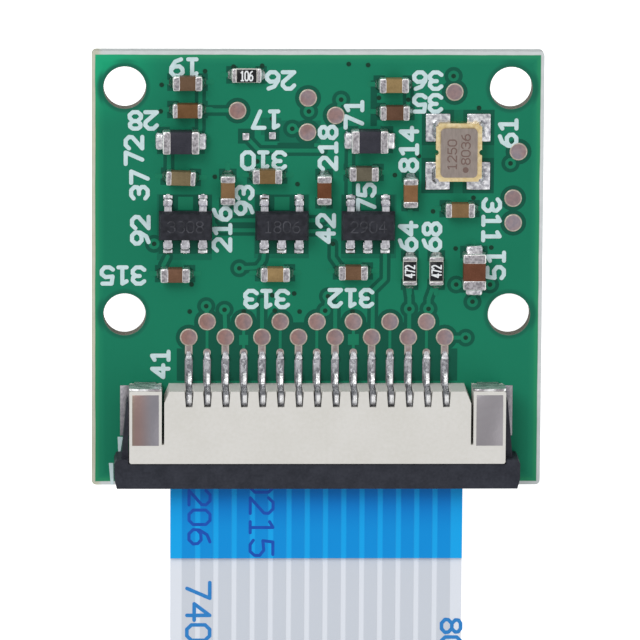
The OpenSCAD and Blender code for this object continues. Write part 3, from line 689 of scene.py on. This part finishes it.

# %% [markdown]
# Bare pads are worn copper with a painted highlight round their rim. Each is a low round of a cone shape with
# its upper edge bevelled, and the flat top is inset once, so that the rim can have a material of its own, a
# paler one that carries the painted highlight. The two rows behind the cable connector test its fifteen ways,
# and every other pad is joined to its way by a neck.

# %% Test pads
def pad_finish(name, warm_side):
    """Worn copper. warm_side gives from 0 to 1 how far a place is from the redder half of its pad."""
    material, shader, place = new_material(name, "#9a8482", Metallic=0.55, Roughness=0.42)
    across_board = (place.part("X") / MM).ramp(-9.0, 9.0)
    worn = (place.noise(0.22 * MM, 4.0) * 0.6 + place.noise(1.2 * MM) * 0.4).ramp(0.32, 0.68)
    warm = worn.blend("#a27b73", "#8a6e68")
    cool = worn.blend("#a09195", "#87808a")
    face = (across_board * 0.45 + warm_side(place) * 0.55).blend(warm, cool)
    drive(shader, "Base Color", face)
    relief(shader, place.noise(0.2 * MM, 4.0), 0.01 * MM)
    return material


neck_metal, shader, place = new_material("neck_metal", "#a09492", Metallic=0.5, Roughness=0.4)
drive(shader, "Base Color", (abs(along_way(place)).ramp(0.1, 0.19) * 0.7).blend(
    place.noise(0.2 * MM, 4.0).ramp(0.3, 0.7).blend("#8f7f7c", "#a89b9b"), "#c6bfb4"))
pad_metal = pad_finish("pad_metal", lambda place: place.noise(0.9 * MM, 1.0).ramp(0.3, 0.7))
row_metal = pad_finish("row_metal", lambda place: along_way(place).ramp(-0.25, 0.35))
# Painted highlight: pad_rim_highlight colours each pad's bevelled rim a pale grey-beige.
pad_rim_highlight = cloudy("pad_rim_highlight", "#b5aa9c", "#a79c90", "#c4bbad", 0.15, edges=(0.3, 0.7), Metallic=0.4,
                 Roughness=0.36)
pad_t, pad_rounding, rim_w = 0.07, 0.045, 0.03


def round_pads(name, spots, material):
    bm = bmesh.new()
    for x, y in spots:
        made = bmesh.ops.create_cone(bm, cap_ends=True, segments=28, radius1=pad_r, radius2=pad_r, depth=pad_t,
                                     matrix=Matrix.Translation((x, y, top_z + 0.01)))
        edges = dict.fromkeys(e for v in made["verts"] for e in v.link_edges)
        soften(bm, [e for e in edges if all(v.co.z > top_z for v in e.verts)], pad_rounding, 3)
    faces = [f for f in bm.faces if len(f.verts) > 4 and f.normal.z > 0.9]
    bmesh.ops.inset_individual(bm, faces=faces, thickness=rim_w)
    print(f"{name}: {len(faces)} pads")
    for face in bm.faces:
        face.material_index = 0 if face in faces else 1
    make_piece(name, bm, [material, pad_rim_highlight], smooth=40)


round_pads("test_pads", TEST_PADS, pad_metal)
round_pads("row_pads", upper_row + lower_row, row_metal)
pad_side = 0.2
necks = [block(x - 0.2, y - 1.1, x + 0.2, y) for x, y in lower_row]
for way in ways_out:
    necks += [disc(way, tail_pad_y, pad_side), block(way - pad_side, toe_y, way + pad_side, tail_pad_y)]
plate("pad_necks", necks, top_z, 0.03, neck_metal)

# %% [markdown]
# Most of the small parts are boxes with rounded edges, so one helper draws them all. It could be a cube
# with a Bevel modifier, but a bmesh can hold many boxes of several materials in one piece. Ceramic is
# a fine speckle of one colour, and the dipped ends have a painted reflection: grey on their flat top and
# bright round their edges.

# %% Rounded boxes and ceramics
def soft_box(bm, size, at, turn=0, round_by=0.05, steps=3, index=0, lean=0):
    """A box with rounded edges, turned about its upright axis, joined to the bmesh."""
    known = set(bm.verts)
    verts = bmesh.ops.create_cube(bm, size=1)["verts"]
    bmesh.ops.scale(bm, vec=size, verts=verts)
    if lean:
        upper = [v for v in verts if v.co.z > 0]
        bmesh.ops.scale(bm, vec=(1 - lean, 1 - lean, 1), verts=upper)
    soften(bm, list(dict.fromkeys(e for v in verts for e in v.link_edges)), round_by, steps)
    new = [v for v in bm.verts if v not in known]
    bmesh.ops.rotate(bm, verts=new, matrix=Matrix.Rotation(math.radians(turn), 3, "Z"))
    bmesh.ops.translate(bm, verts=new, vec=at)
    for face in {f for v in new for f in v.link_faces}:
        face.material_index = index


def ceramic(name, colour, rough=0.45):
    material, shader, place = new_material(name, colour, Roughness=rough)
    base = tone(colour)
    pale = (*[min(1, c * 1.18 + 0.006) for c in base[:3]], 1)
    deep = (*[c * 0.84 for c in base[:3]], 1)
    grain = (place.noise(0.06 * MM, 4.0) * 0.5 + place.noise(0.5 * MM) * 0.5).ramp(0.3, 0.7)
    drive(shader, "Base Color", grain.blend(deep, pale))
    relief(shader, place.noise(0.05 * MM, 2.0), 0.006 * MM)
    return material


# Painted reflection: cap_metal paints the rounded and upright faces near white and the flat tops a mottled
# grey.
cap_metal, shader, place = new_material("cap_metal", "#dcd8d8", Metallic=1.0, Roughness=0.34)
grain = place.noise(0.14 * MM, 4.0).ramp(0.3, 0.7)
drive(shader, "Base Color", (flat_top(place) * 0.9).blend("#f6f4f3", grain.blend("#69656b", "#b3afb4")))
relief(shader, place.noise(0.12 * MM, 4.0), 0.03 * MM)
resistor_black = ceramic("resistor_black", "#17181c", 0.3)
alumina = ceramic("alumina", "#d8d6d0", 0.5)
inductor_grey = ceramic("inductor_grey", "#31313a", 0.4)
print("ceramics made")

# %% [markdown]
# The chips are sintered ceramic bars whose two ends are dipped in metal. The dipped caps are a little
# thicker than the bar and rounded, and that with the painted highlight on their rims makes them sparkle. Each
# is one piece of rounded boxes, and it stands for its imported solid. Every capacitor has its own shade of
# brown, and a resistor has a black glaze over its white ceramic.

# %% Chip capacitors, inductors and resistors
CERAMIC = {
    1: "#624b38", 2: "#68482a", 3: "#8f7850", 4: "#5c402f", 5: "#74664a", 6: "#7b5f3f", 7: "#725a38",
    8: "#643b22", 9: "#605a4b", 10: "#7f5b3b", 11: "#7c6140", 12: "#6c4d3a", 13: "#927951", 14: "#6b4f39",
    15: "#643b28",
}
CAP_WIDTHS = {2: 0.28, 4: 0.37, 5: 0.31, 10: 0.37, 11: 0.37, 12: 0.45, 15: 0.55}


def chip_piece(node, body, cap, size, turn):
    """A bar with two dipped ends, cap millimetres long, and a glaze if the bar is a flat one."""
    x, y, z = middle_of(node)
    bm = bmesh.new()
    flat = size.z < 0.6
    lift = 0.03 if flat else 0.0
    soft_box(bm, (size.x - 0.16, size.y - 0.05, size.z - 0.05 - lift), (x, y, z - lift / 2), turn, 0.03, 2)
    for side in (-1, 1):
        shift = spun(turn) @ Vector((side * (size.x - cap) / 2, 0))
        soft_box(bm, (cap, size.y, size.z), (x + shift.x, y + shift.y, z), turn, 0.1, 4, 1)
    if flat:
        glaze = (size.x - 2 * cap - 0.04, size.y - 0.1, 0.05)
        soft_box(bm, glaze, (x, y, z + size.z / 2 - 0.035), turn, 0.012, 1, 2)
    make_piece(f"{node}_finished", bm, [body, cap_metal, resistor_black], stands_for=[node],
               smooth=50)


for node, (size, turn) in CHIPS.items():
    kind, order = node.split("_")
    if kind == "capacitor":
        body = ceramic(f"ceramic_{order}", CERAMIC[int(order)])
        chip_piece(node, body, CAP_WIDTHS.get(int(order), 0.41), size, turn)
    elif kind == "inductor":
        chip_piece(node, inductor_grey, 0.45, size, turn)
    else:
        chip_piece(node, alumina, 0.25, size, turn)

# %% [markdown]
# A resistor carries its value as three plain numbers, white on black. The small circuits are moulded in
# black and carry a faint grey line of numbers. Both prints are thin plates, as the legend is.

# %% Numbers on the parts
value_white = cloudy("value_white", "#e9edf0", "#dfe4e8", "#f3f5f7", 0.1, Roughness=0.5)
value_grey = cloudy("value_grey", "#3c3d43", "#2c2d32", "#4a4b52", 0.4, edges=(0.35, 0.65), Roughness=0.5)
resistor_top = middle_of("resistor_1").z + FLAT.z / 2
values = []
for node, turn, text in (("resistor_1", 0, "106"), ("resistor_2", 90, "472"), ("resistor_3", 90, "472")):
    values += number(text, middle_of(node).xy, turn, 0.5, 0.075, 0.5)
plate("resistor_values", values, resistor_top, 0.003, value_white, sunk=0.03)
mould_top = box_mm("regulator_left")[1].z
marks = []
for name, text in zip(REGULATORS, ("3308", "1806", "2904")):
    marks += number(text, middle_of(f"regulator_{name}").xy, 0, 0.6, 0.06, 0.9)
plate("regulator_marks", marks, mould_top, 0.004, value_grey)
black_mould, shader, place = new_material("black_mould", "#26272d", Roughness=0.55)
drive(shader, "Base Color", place.noise(0.3 * MM, 5.0).ramp(0.3, 0.7).blend("#212228", "#2f3037"))
drive(shader, "Roughness", 0.45 + place.noise(0.1 * MM, 4.0) * 0.25)
relief(shader, place.noise(0.05 * MM, 3.0), 0.012 * MM)
for name in REGULATORS:
    dress(f"regulator_{name}", black_mould)
    dress(f"regulator_leads_{name}", tin)

# %% [markdown]
# Solder climbs each end in a hollow curve. The curve's outline is one face, extruded across the joint in
# slices, and the outer slices are drawn in so that the joint closes softly. A plain wedge would be
# quicker, but only a hollow curve catches the light as a thin bright line.

# %% Solder joints
def solder_joint(bm, at, turn, width, reach, height, back=0.06, hollow=1.9, narrow=0.5):
    """A hollow fillet that starts at a place, points along the turn, and fades out after its reach."""
    known = set(bm.verts)
    curve = [(reach * t ** 1.1, height * (1 - t) ** hollow + 0.02)
             for t in (0.08, 0.2, 0.36, 0.55, 0.76, 0.94)]
    outline = [(-back, 0), (-back, height), *curve, (reach, 0)]
    verts = first = [bm.verts.new((out, -width / 2, up)) for out, up in outline]
    faces = [bm.faces.new(verts)]
    for part in (0.14, 0.36, 0.36, 0.14):
        verts, faces = grow(bm, faces, (0, width * part, 0))
    for edge_slice in (first, verts):
        bmesh.ops.scale(bm, vec=(0.75, 1, 0.7), verts=edge_slice)
    new = [v for v in bm.verts if v not in known]
    for v in new:
        v.co.y *= 1 - narrow * max(0, v.co.x / reach) ** 1.5
    bmesh.ops.rotate(bm, verts=new, matrix=Matrix.Rotation(math.radians(turn), 3, "Z"))
    bmesh.ops.translate(bm, verts=new, vec=(*at, top_z - 0.005))


# Painted reflection: the chips' fillet solder is toned dark green-grey, as if it mirrored the green board.
fillet_solder = metal("fillet_solder", "#cdd3d0", "#6d7874", 0.14, 0.12 * MM, 0.03)
bm, fillets = bmesh.new(), bmesh.new()
for node, (size, turn) in CHIPS.items():
    at = middle_of(node)
    for side in (0, 180):
        outwards = spun(turn) @ (spun(side) @ Vector((1, 0)))
        end = at.xy + outwards * (size.x / 2)
        if size == BIG:
            bulge = end + outwards * 0.16
            soft_box(bm, (0.5, size.y * 0.82, 0.62), (*bulge, top_z + 0.26), turn, 0.16, 4, lean=0.1)
        else:
            solder_joint(fillets, end, turn + side, size.y * 0.8, 0.22, size.z * 0.5, hollow=1.3, narrow=0.3)
for x, y in ((-3.92, 7.32), (-2.48, 7.37)):
    soft_box(bm, (0.4, 0.42, 0.16), (x, y, top_z + 0.04), 0, 0.07, 3)
make_piece("chip_solder", bm, [solder], smooth=60)
make_piece("chip_fillets", fillets, [fillet_solder], smooth=60)
bm = bmesh.new()
for name in REGULATORS:
    low, high = box_mm(f"regulator_leads_{name}")
    middle = (low.x + high.x) / 2
    for step in (-0.95, 0, 0.95):
        # three leads at the near side and two at the far one
        for y, facing in ((low.y, 1), (high.y, -1)) if step else ((low.y, 1),):
            solder_joint(bm, (middle + step, y + 0.05 * facing), -90 * facing, 0.5, 0.3, 0.22)
            soft_box(bm, (0.52, 0.62, 0.12), (middle + step, y + 0.1 * facing, top_z + 0.04), 0, 0.04, 2)
make_piece("lead_solder", bm, [solder], smooth=60)

# %% [markdown]
# The oscillator is a ceramic box with a gold rim and a metal lid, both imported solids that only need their
# finish. Its four corners stand on large bright pads that show outside it, with solder at the sides.

# %% Oscillator
dress("oscillator_base", gold)
dress("oscillator_lid", lid_metal)
bm = bmesh.new()
base_low, base_high = box_mm("oscillator_base")
for x0, y0, x1, y1 in CORNER_PADS:
    soft_box(bm, (x1 - x0, y1 - y0, 0.16), ((x0 + x1) / 2, (y0 + y1) / 2, top_z + 0.05), 0, 0.06, 3)
for side in (-1, 1):
    for y in (5.25, 7.75):
        solder_joint(bm, (base_high.x if side > 0 else base_low.x, y), 90 - 90 * side, 1.0, 0.4, 0.45)
make_piece("oscillator_solder", bm, [solder], smooth=60)
lid_low, lid_high = box_mm("oscillator_lid")
lid_mark = cloudy("lid_mark", "#80706a", "#6d5853", "#7b6760", 0.15, Roughness=0.5)
lid_middle = (lid_low + lid_high) / 2
marks = number("1250", (lid_middle.x - 0.38, lid_middle.y - 0.1), 90, 0.46, 0.07)
marks += number("8036", (lid_middle.x + 0.36, lid_middle.y + 0.2), 90, 0.46, 0.07)
marks.append(disc(lid_middle.x + 0.36, lid_low.y + 0.42, 0.16))
plate("oscillator_marks", marks, lid_high.z, 0.004, lid_mark)

# %% [markdown]
# The cable connector is a pale matt housing with fifteen slits, and a dark latch slides over its front.
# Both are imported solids, so they only need their plastics. The pale one takes a hint of green from the
# board where it faces it, and light does that by itself.

# %% Connector's plastics
housing_plastic, shader, place = new_material(
    "housing_plastic", "#d9d7d2", Roughness=0.5, Specular_IOR_Level=0.25)
drive(shader, "Base Color", (place.noise(2 * MM) * 0.5 + place.noise(0.2 * MM) * 0.5).ramp(0.25, 0.75)
      .blend("#d4d2cc", "#dcdad6"))
relief(shader, place.noise(0.12 * MM, 4.0), 0.004 * MM)
latch_plastic, shader, place = new_material("latch_plastic", "#2c2e37", Roughness=0.5)
drive(shader, "Base Color", (place.noise(0.8 * MM, 4.0) * 0.6 + place.noise(0.15 * MM) * 0.4).ramp(0.25, 0.75)
      .blend("#25272f", "#363841"))
drive(shader, "Roughness", 0.4 + place.noise(0.3 * MM) * 0.2)
relief(shader, place.noise(0.1 * MM, 4.0), 0.01 * MM)
dress("connector_housing", housing_plastic)
dress("connector_latch", latch_plastic)
print("housing_plastic and latch_plastic made")

# %% [markdown]
# The contacts are stamped from tinned strip. Each comes out of its slit as a fork with a painted highlight,
# runs down the housing's back and ends flat on its pad. All fifteen are one imported solid, so the painted
# highlights (bright bars on the fork and tail), the painted shade beside them, on the spine and in the slits,
# and the dull, mottled parts are drawn in the metal from the place across a way, the distance behind the
# housing and the height above the board, all in millimetres.

# %% Contacts
housing_back = box_mm("connector_housing")[1].y
contact_tin, shader, place = new_material("contact_tin", "#c8c8cc", Metallic=0.9, Roughness=0.26)
across_way = along_way(place)
behind = place.part("Y") / MM - housing_back
height = place.part("Z") / MM - top_z
streak = (place.noise(0.14 * MM, 4.0, (1, 0.6, 1)) * 0.6 + place.noise(0.5 * MM, 2.0) * 0.4).ramp(0.38, 0.62)
dull = streak.blend("#7b7b81", "#c2c2c7")
# Painted light: tail_highlight and fork_highlight are painted highlights in near white, shadow_side is painted
# shade on the tail's other half, spine_shade is painted shade on the spine by the housing, and slit_shade is
# painted shade on the contacts' sides in the slits.
highlight_side = across_way.ramp(-0.06, 0.0)
tail_highlight = highlight_side * behind.ramp(0.66, 0.54) * behind.ramp(0.02, 0.1)
fork_highlight = across_way.ramp(-0.1, -0.03) * behind.ramp(-0.2, -0.32) * behind.ramp(-0.8, -0.55)
spine_shade = behind.ramp(-0.3, -0.1) * height.ramp(0.45, 0.7)
shadow_side = (behind.ramp(0.66, 0.54) * (1 - highlight_side) * 0.5).most(spine_shade * 0.6)
face = tail_highlight.most(fork_highlight).blend(shadow_side.blend(dull, "#5a5d60"), "#fbfbfc")
slit_shade = abs(across_way).ramp(0.13, 0.17) * behind.ramp(0.1, -0.1)
drive(shader, "Base Color", slit_shade.blend(face, "#34373a"))
relief(shader, streak, 0.02 * MM)
dress("connector_contacts", contact_tin)
print("contact_tin made")

# %% [markdown]
# A solder tab holds the connector at each side. It is a strip of tinned brass that lies in a pocket of
# the housing's top, bends over the rear edge and goes down to the board. The bend is what glints, so
# it gets wide round rims: a plate whose two upper corners are bevelled first, and then all its edges. Its
# colour adds a painted sheen of bright glints and dark streaks, and the left tab's flat part carries a painted
# reflection in olive and mauve.
# The tabs stand for the imported ones, and a little plastic closes the front of each pocket.

# %% Solder tabs
housing_top = box_mm("connector_housing")[1].z
tab_metal, shader, place = new_material("tab_metal", "#a08f8e", Metallic=0.75, Roughness=0.32)
# Painted reflection: the left tab's flat part is olive at its outer edge and mauve further in, fading to the
# grey of the metal; the right tab is grey metal only.
across = place.part("X") / MM
cloud = place.noise(0.7 * MM)
warm = across.ramp(-10.35, -9.85).blend("#918672", cloud.blend("#987f7b", "#8c7774"))
left_tab_reflection = across.ramp(-9.85, -8.95).blend(warm, cloud.blend("#8f8c92", "#86838a"))
right_face = cloud.blend("#9d999d", "#908c91")
drive(shader, "Base Color", (across > 0).blend(left_tab_reflection, right_face))
relief(shader, place.noise(0.25 * MM, 4.0), 0.012 * MM)
tab_bend, shader, place = new_material("tab_bend", "#d9d9da", Metallic=0.6, Roughness=0.22)
# Painted sheen: tab_bend's colour wanders in streaks from near white to dark grey, as glints and dark
# reflections on the bend.
painted_sheen = place.noise(0.5 * MM, 3.0, (0.8, 1, 3)).ramp(0.36, 0.64)
drive(shader, "Base Color", painted_sheen.blend("#f4f4f5", "#9b959a"))
relief(shader, painted_sheen, 0.02 * MM)
bend_w, bend_h, bend_t, leg_w = 1.8, 1.45, 0.16, 1.2
pocket_ends = bmesh.new()
for side in ("left", "right"):
    tab_low, tab_high = box_mm(f"solder_tab_{side}")
    x, tab_w = (tab_low.x + tab_high.x) / 2, tab_high.x - tab_low.x
    front, rear = tab_low.y + 0.27, housing_back - 0.19
    bm = bmesh.new()
    bend = bmesh.ops.create_cube(bm, size=1)["verts"]
    bmesh.ops.scale(bm, vec=(bend_w, bend_t, bend_h), verts=bend)
    corners = [e for e in bm.edges if all(v.co.z > 0 for v in e.verts) and e.verts[0].co.x == e.verts[1].co.x]
    soften(bm, corners, 0.3, 5)
    soften(bm, [e for e in bm.edges if e.calc_face_angle(0) > 1], 0.07, 4)
    bend_at = (x, housing_back + bend_t / 2 - 0.02, housing_top - 0.03 - bend_h / 2)
    bmesh.ops.translate(bm, verts=bm.verts, vec=bend_at)
    leg_h = housing_top - bend_h / 2 - top_z
    soft_box(bm, (leg_w, 0.07, leg_h), (x, housing_back + 0.03, top_z + leg_h / 2), 0, 0.02, 2)
    soft_box(bm, (tab_w, rear - front, 0.16), (x, (rear + front) / 2, housing_top - 0.068), 0, 0.02, 2, 1)
    make_piece(f"solder_tab_{side}_finished", bm, [tab_bend, tab_metal],
               stands_for=[f"solder_tab_{side}"], smooth=40)
    soft_box(pocket_ends, (tab_w, 0.28, 0.15), (x, tab_low.y + 0.14, housing_top - 0.075), 0, 0.004, 1)
make_piece("pocket_ends", pocket_ends, [housing_plastic])

# %% [markdown]
# At each contact's toe the solder piles up to a bright bead, and duller pads show beside the tails and
# under the tabs. They are the same small shapes as before, once for every way.

# %% Toes and pads
bm = bmesh.new()
for way in ways_out:
    solder_joint(bm, (way, toe_y + 0.07), 90, 0.44, 0.34, 0.24, hollow=0.9)
    soft_box(bm, (0.44, 0.16, 0.22), (way, toe_y, top_z + 0.05), 0, 0.06, 2)
make_piece("toe_solder", bm, [solder], smooth=60)
pad_grey = metal("pad_grey", "#a5a2a6", "#85838a", 0.4, 0.15 * MM, 0.02)
bm = bmesh.new()
for way in ways_out:
    soft_box(bm, (0.43, 1.6, 0.06), (way, -5.6, top_z + 0.015), 0, 0.02, 2)
for side in (-1, 1):
    soft_box(bm, (0.5, 2.8, 0.05), (side * 10.5, -7.85, top_z + 0.01), 0, 0.02, 2)
make_piece("connector_pads", bm, [pad_grey], smooth=60)

# %% [markdown]
# Under the board hangs the lens: a threaded barrel in a black holder, glued with foam over the sensor's
# own little board, and an amber flexible tongue that plugs into a low socket. All of these are packed
# solids, and one recipe of a fine grain on two close colours gives each its finish.

# %% Lens side
def moulded(name, light, dark, rough, depth=0.01, size=0.12, **constants):
    material, shader, place = new_material(name, light, **constants)
    fine = place.noise(size * MM, 4.0)
    speckle = (fine * 0.5 + place.noise(1.5 * MM) * 0.5).ramp(0.25, 0.75)
    drive(shader, "Base Color", speckle.blend(dark, light))
    drive(shader, "Roughness", rough - 0.08 + fine * 0.16)
    relief(shader, fine, depth * MM)
    return material


for node, finish in {
    "sensor_holder": ("holder_plastic", "#25262a", "#1b1c1f", 0.5),
    "lens_barrel": ("barrel_plastic", "#1d1e21", "#141517", 0.42),
    "foam_pad": ("foam", "#303033", "#1c1c1e", 0.85, 0.06, 0.25),
    "sensor_base": ("sensor_board", "#1d6b4d", "#175a41", 0.4),
    "board_socket": ("plug_plastic", "#34353a", "#28292d", 0.5),
    "flex_plug": ("plug_plastic_pale", "#3a3b40", "#2d2e33", 0.5),
}.items():
    dress(node, moulded(*finish))
dress("image_sensor", moulded("silicon", "#4a4660", "#3a3652", 0.2, 0.001, 0.5, Metallic=0.5))
dress("infrared_filter", moulded("filter_glass", "#7fb7b5", "#74abac", 0.08, 0.001, 1.0,
                                 Transmission_Weight=0.8, IOR=1.52))
lens_glass = moulded("lens_glass", "#2c2440", "#1c2038", 0.06, 0.0005, 2.0, Transmission_Weight=0.35, IOR=1.6,
                     Coat_Weight=0.6, Coat_Roughness=0.03)
for node in ("front_lens", "middle_lens", "rear_lens"):
    dress(node, lens_glass)
amber, shader, place = new_material("amber_film", "#a8701e", Roughness=0.3, Coat_Weight=0.4,
                                    Coat_Roughness=0.1)
across = place.part("X")
flex_pitch = 0.5 * MM
flex_tracks = abs(across.maths("FRACT", across / flex_pitch + WAY_SHIFT) - 0.5).ramp(0.28, 0.36)
tongue = (place.part("Y") / MM).ramp(1.9, 2.1)
drive(shader, "Base Color", (flex_tracks * tongue).blend(
    place.noise(1 * MM).blend("#8f5c18", "#a36c22"), "#bf8a38"))
relief(shader, flex_tracks * tongue, 0.01 * MM)
dress("sensor_flex", amber)
print("lens side dressed")

# %% [markdown]
# The line of numbers on the cable runs along it, so it reads from the side. On the blue film the print
# is darker, and on the white film it is a clear blue. It is drawn flat as the legend is, and then each of
# its points is moved up or down with the cable. A Shrinkwrap modifier could do that too, but the route
# is known here, so a few lines of sums do it exactly.

# %% Numbers on the ribbon
ink_blue = cloudy("stiffener_ink", "#1a4fb0", "#1848a8", "#1f5abf", 0.3, Roughness=0.4)
ink = cloudy("ribbon_ink", "#2a7fc8", "#2377c2", "#3b8ccf", 0.2, Roughness=0.5)
blue_top = box_mm("stiffener_near")[1].z
film_top = ROUTE[0][1] + ribbon_t / 2
on_blue = number("206", (-6.4, -13.6), -90, 1.15, 0.17) + number("80215", (-3.0, -12.95), -90, 1.25, 0.17)
plate("stiffener_print", on_blue, blue_top, 0.004, ink_blue)


def follow_ribbon(piece):
    """Moves a flat print up or down with the cable's own bend."""
    for v in piece.data.vertices:
        place_y = v.co.y / MM
        for near, far in zip(ribbon_line, ribbon_line[1:]):
            if near.y >= place_y > far.y:
                share = (near.y - place_y) / (near.y - far.y)
                slope = (near - far).length / (near.y - far.y)
                v.co.z += (near.lerp(far, share).z - ROUTE[0][1] + (slope - 1) * (ribbon_t / 2 + 0.01)) * MM
                break


on_white = number("7402168", (-6.45, -21.3), -90, 1.25, 0.2) + number("805", (7.45, -20.75), -90, 1.05, 0.2)
follow_ribbon(plate("ribbon_print", on_white, film_top, 0.012, ink))

# %% [markdown]
# The module stands on a white sheet. The floor keeps a soft shadow for the eye: its own diffuse colour
# takes the shadow, and a little light of its own lifts the rest to white. More lamp light would whiten
# it too, but it would bleach the housing. For the light that falls on the parts it is a dim grey.

# %% Floor
bm = bmesh.new()
bmesh.ops.create_grid(bm, x_segments=1, y_segments=1, size=3)
mesh = bpy.data.meshes.new("floor")
bm.to_mesh(mesh)
bm.free()
floor = bpy.data.objects.new("floor", mesh)
floor.location.z = cad_low.z - 0.00005
bpy.context.scene.collection.objects.link(floor)
floor_white, shader, place = new_material("floor_white", "#ffffff", Roughness=0.9)
shader.inputs["Specular IOR Level"].default_value = 0
tree = floor_white.node_tree
rays = tree.nodes.new("ShaderNodeLightPath").outputs
seen = Wire(tree, rays["Is Camera Ray"]).most(Wire(tree, rays["Is Glossy Ray"])).most(
    Wire(tree, rays["Is Transmission Ray"]))
lit = place.node("ShaderNodeEmission", None, {"Color": tone("#ffffff"), "Strength": 0.75})
both = place.node("ShaderNodeAddShader", None, {0: Wire(tree, shader.outputs[0]), 1: lit})
dim = place.node("ShaderNodeBsdfDiffuse", None, {"Color": tone("#b9b9b9")})
mixed = place.node("ShaderNodeMixShader", None, {0: seen, 1: dim, 2: both})
tree.links.new(mixed.socket, tree.nodes["Material Output"].inputs["Surface"])
mesh.materials.append(floor_white)
floor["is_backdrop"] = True
print("floor placed")

# %% [markdown]
# A soft, wide lamp shines from the upper left, with a weaker one opposite, and the world adds an even
# white light. The eye sees the world as full white, and so it is a clean background from any side.

# %% Light
world = bpy.data.worlds.new("studio")
bpy.context.scene.world = world
world.use_nodes = True
tree = world.node_tree
rays = tree.nodes.new("ShaderNodeLightPath").outputs
seen = Wire(tree, rays["Is Camera Ray"]).most(Wire(tree, rays["Is Transmission Ray"]))
mirrored = Wire(tree, rays["Is Glossy Ray"])
backdrop = tree.nodes["Background"]
backdrop.inputs["Color"].default_value = (1, 1, 1, 1)
tree.links.new((0.6 + seen * 0.4 + mirrored * 0.2).socket, backdrop.inputs["Strength"])


def lamp(name, way, share, reach=0.5, size=0.25):
    """A square lamp that gives a share of full light on a surface facing it."""
    light = bpy.data.lights.new(name, "AREA")
    light.size = size
    light.energy = share * math.pi ** 2 * reach ** 2
    made = bpy.data.objects.new(name, light)
    way = Vector(way).normalized()
    made.matrix_world = Matrix.Translation(way * reach) @ way.to_track_quat("Z", "Y").to_matrix().to_4x4()
    bpy.context.scene.collection.objects.link(made)


lamp("key", (-0.6, 0.75, 1.1), 0.42)
lamp("fill", (0.9, -0.5, 1.0), 0.13, size=0.4)
bpy.context.scene.view_settings.view_transform = "Standard"
print("light set")

# %% [markdown]
# Last, the box of the dressed model is printed, as the bare model's box was at the start.

# %% Sizes and finish
low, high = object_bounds()
print(len(made_pieces), "pieces made; box in mm:", [round(v / MM, 2) for v in (*low, *high)])
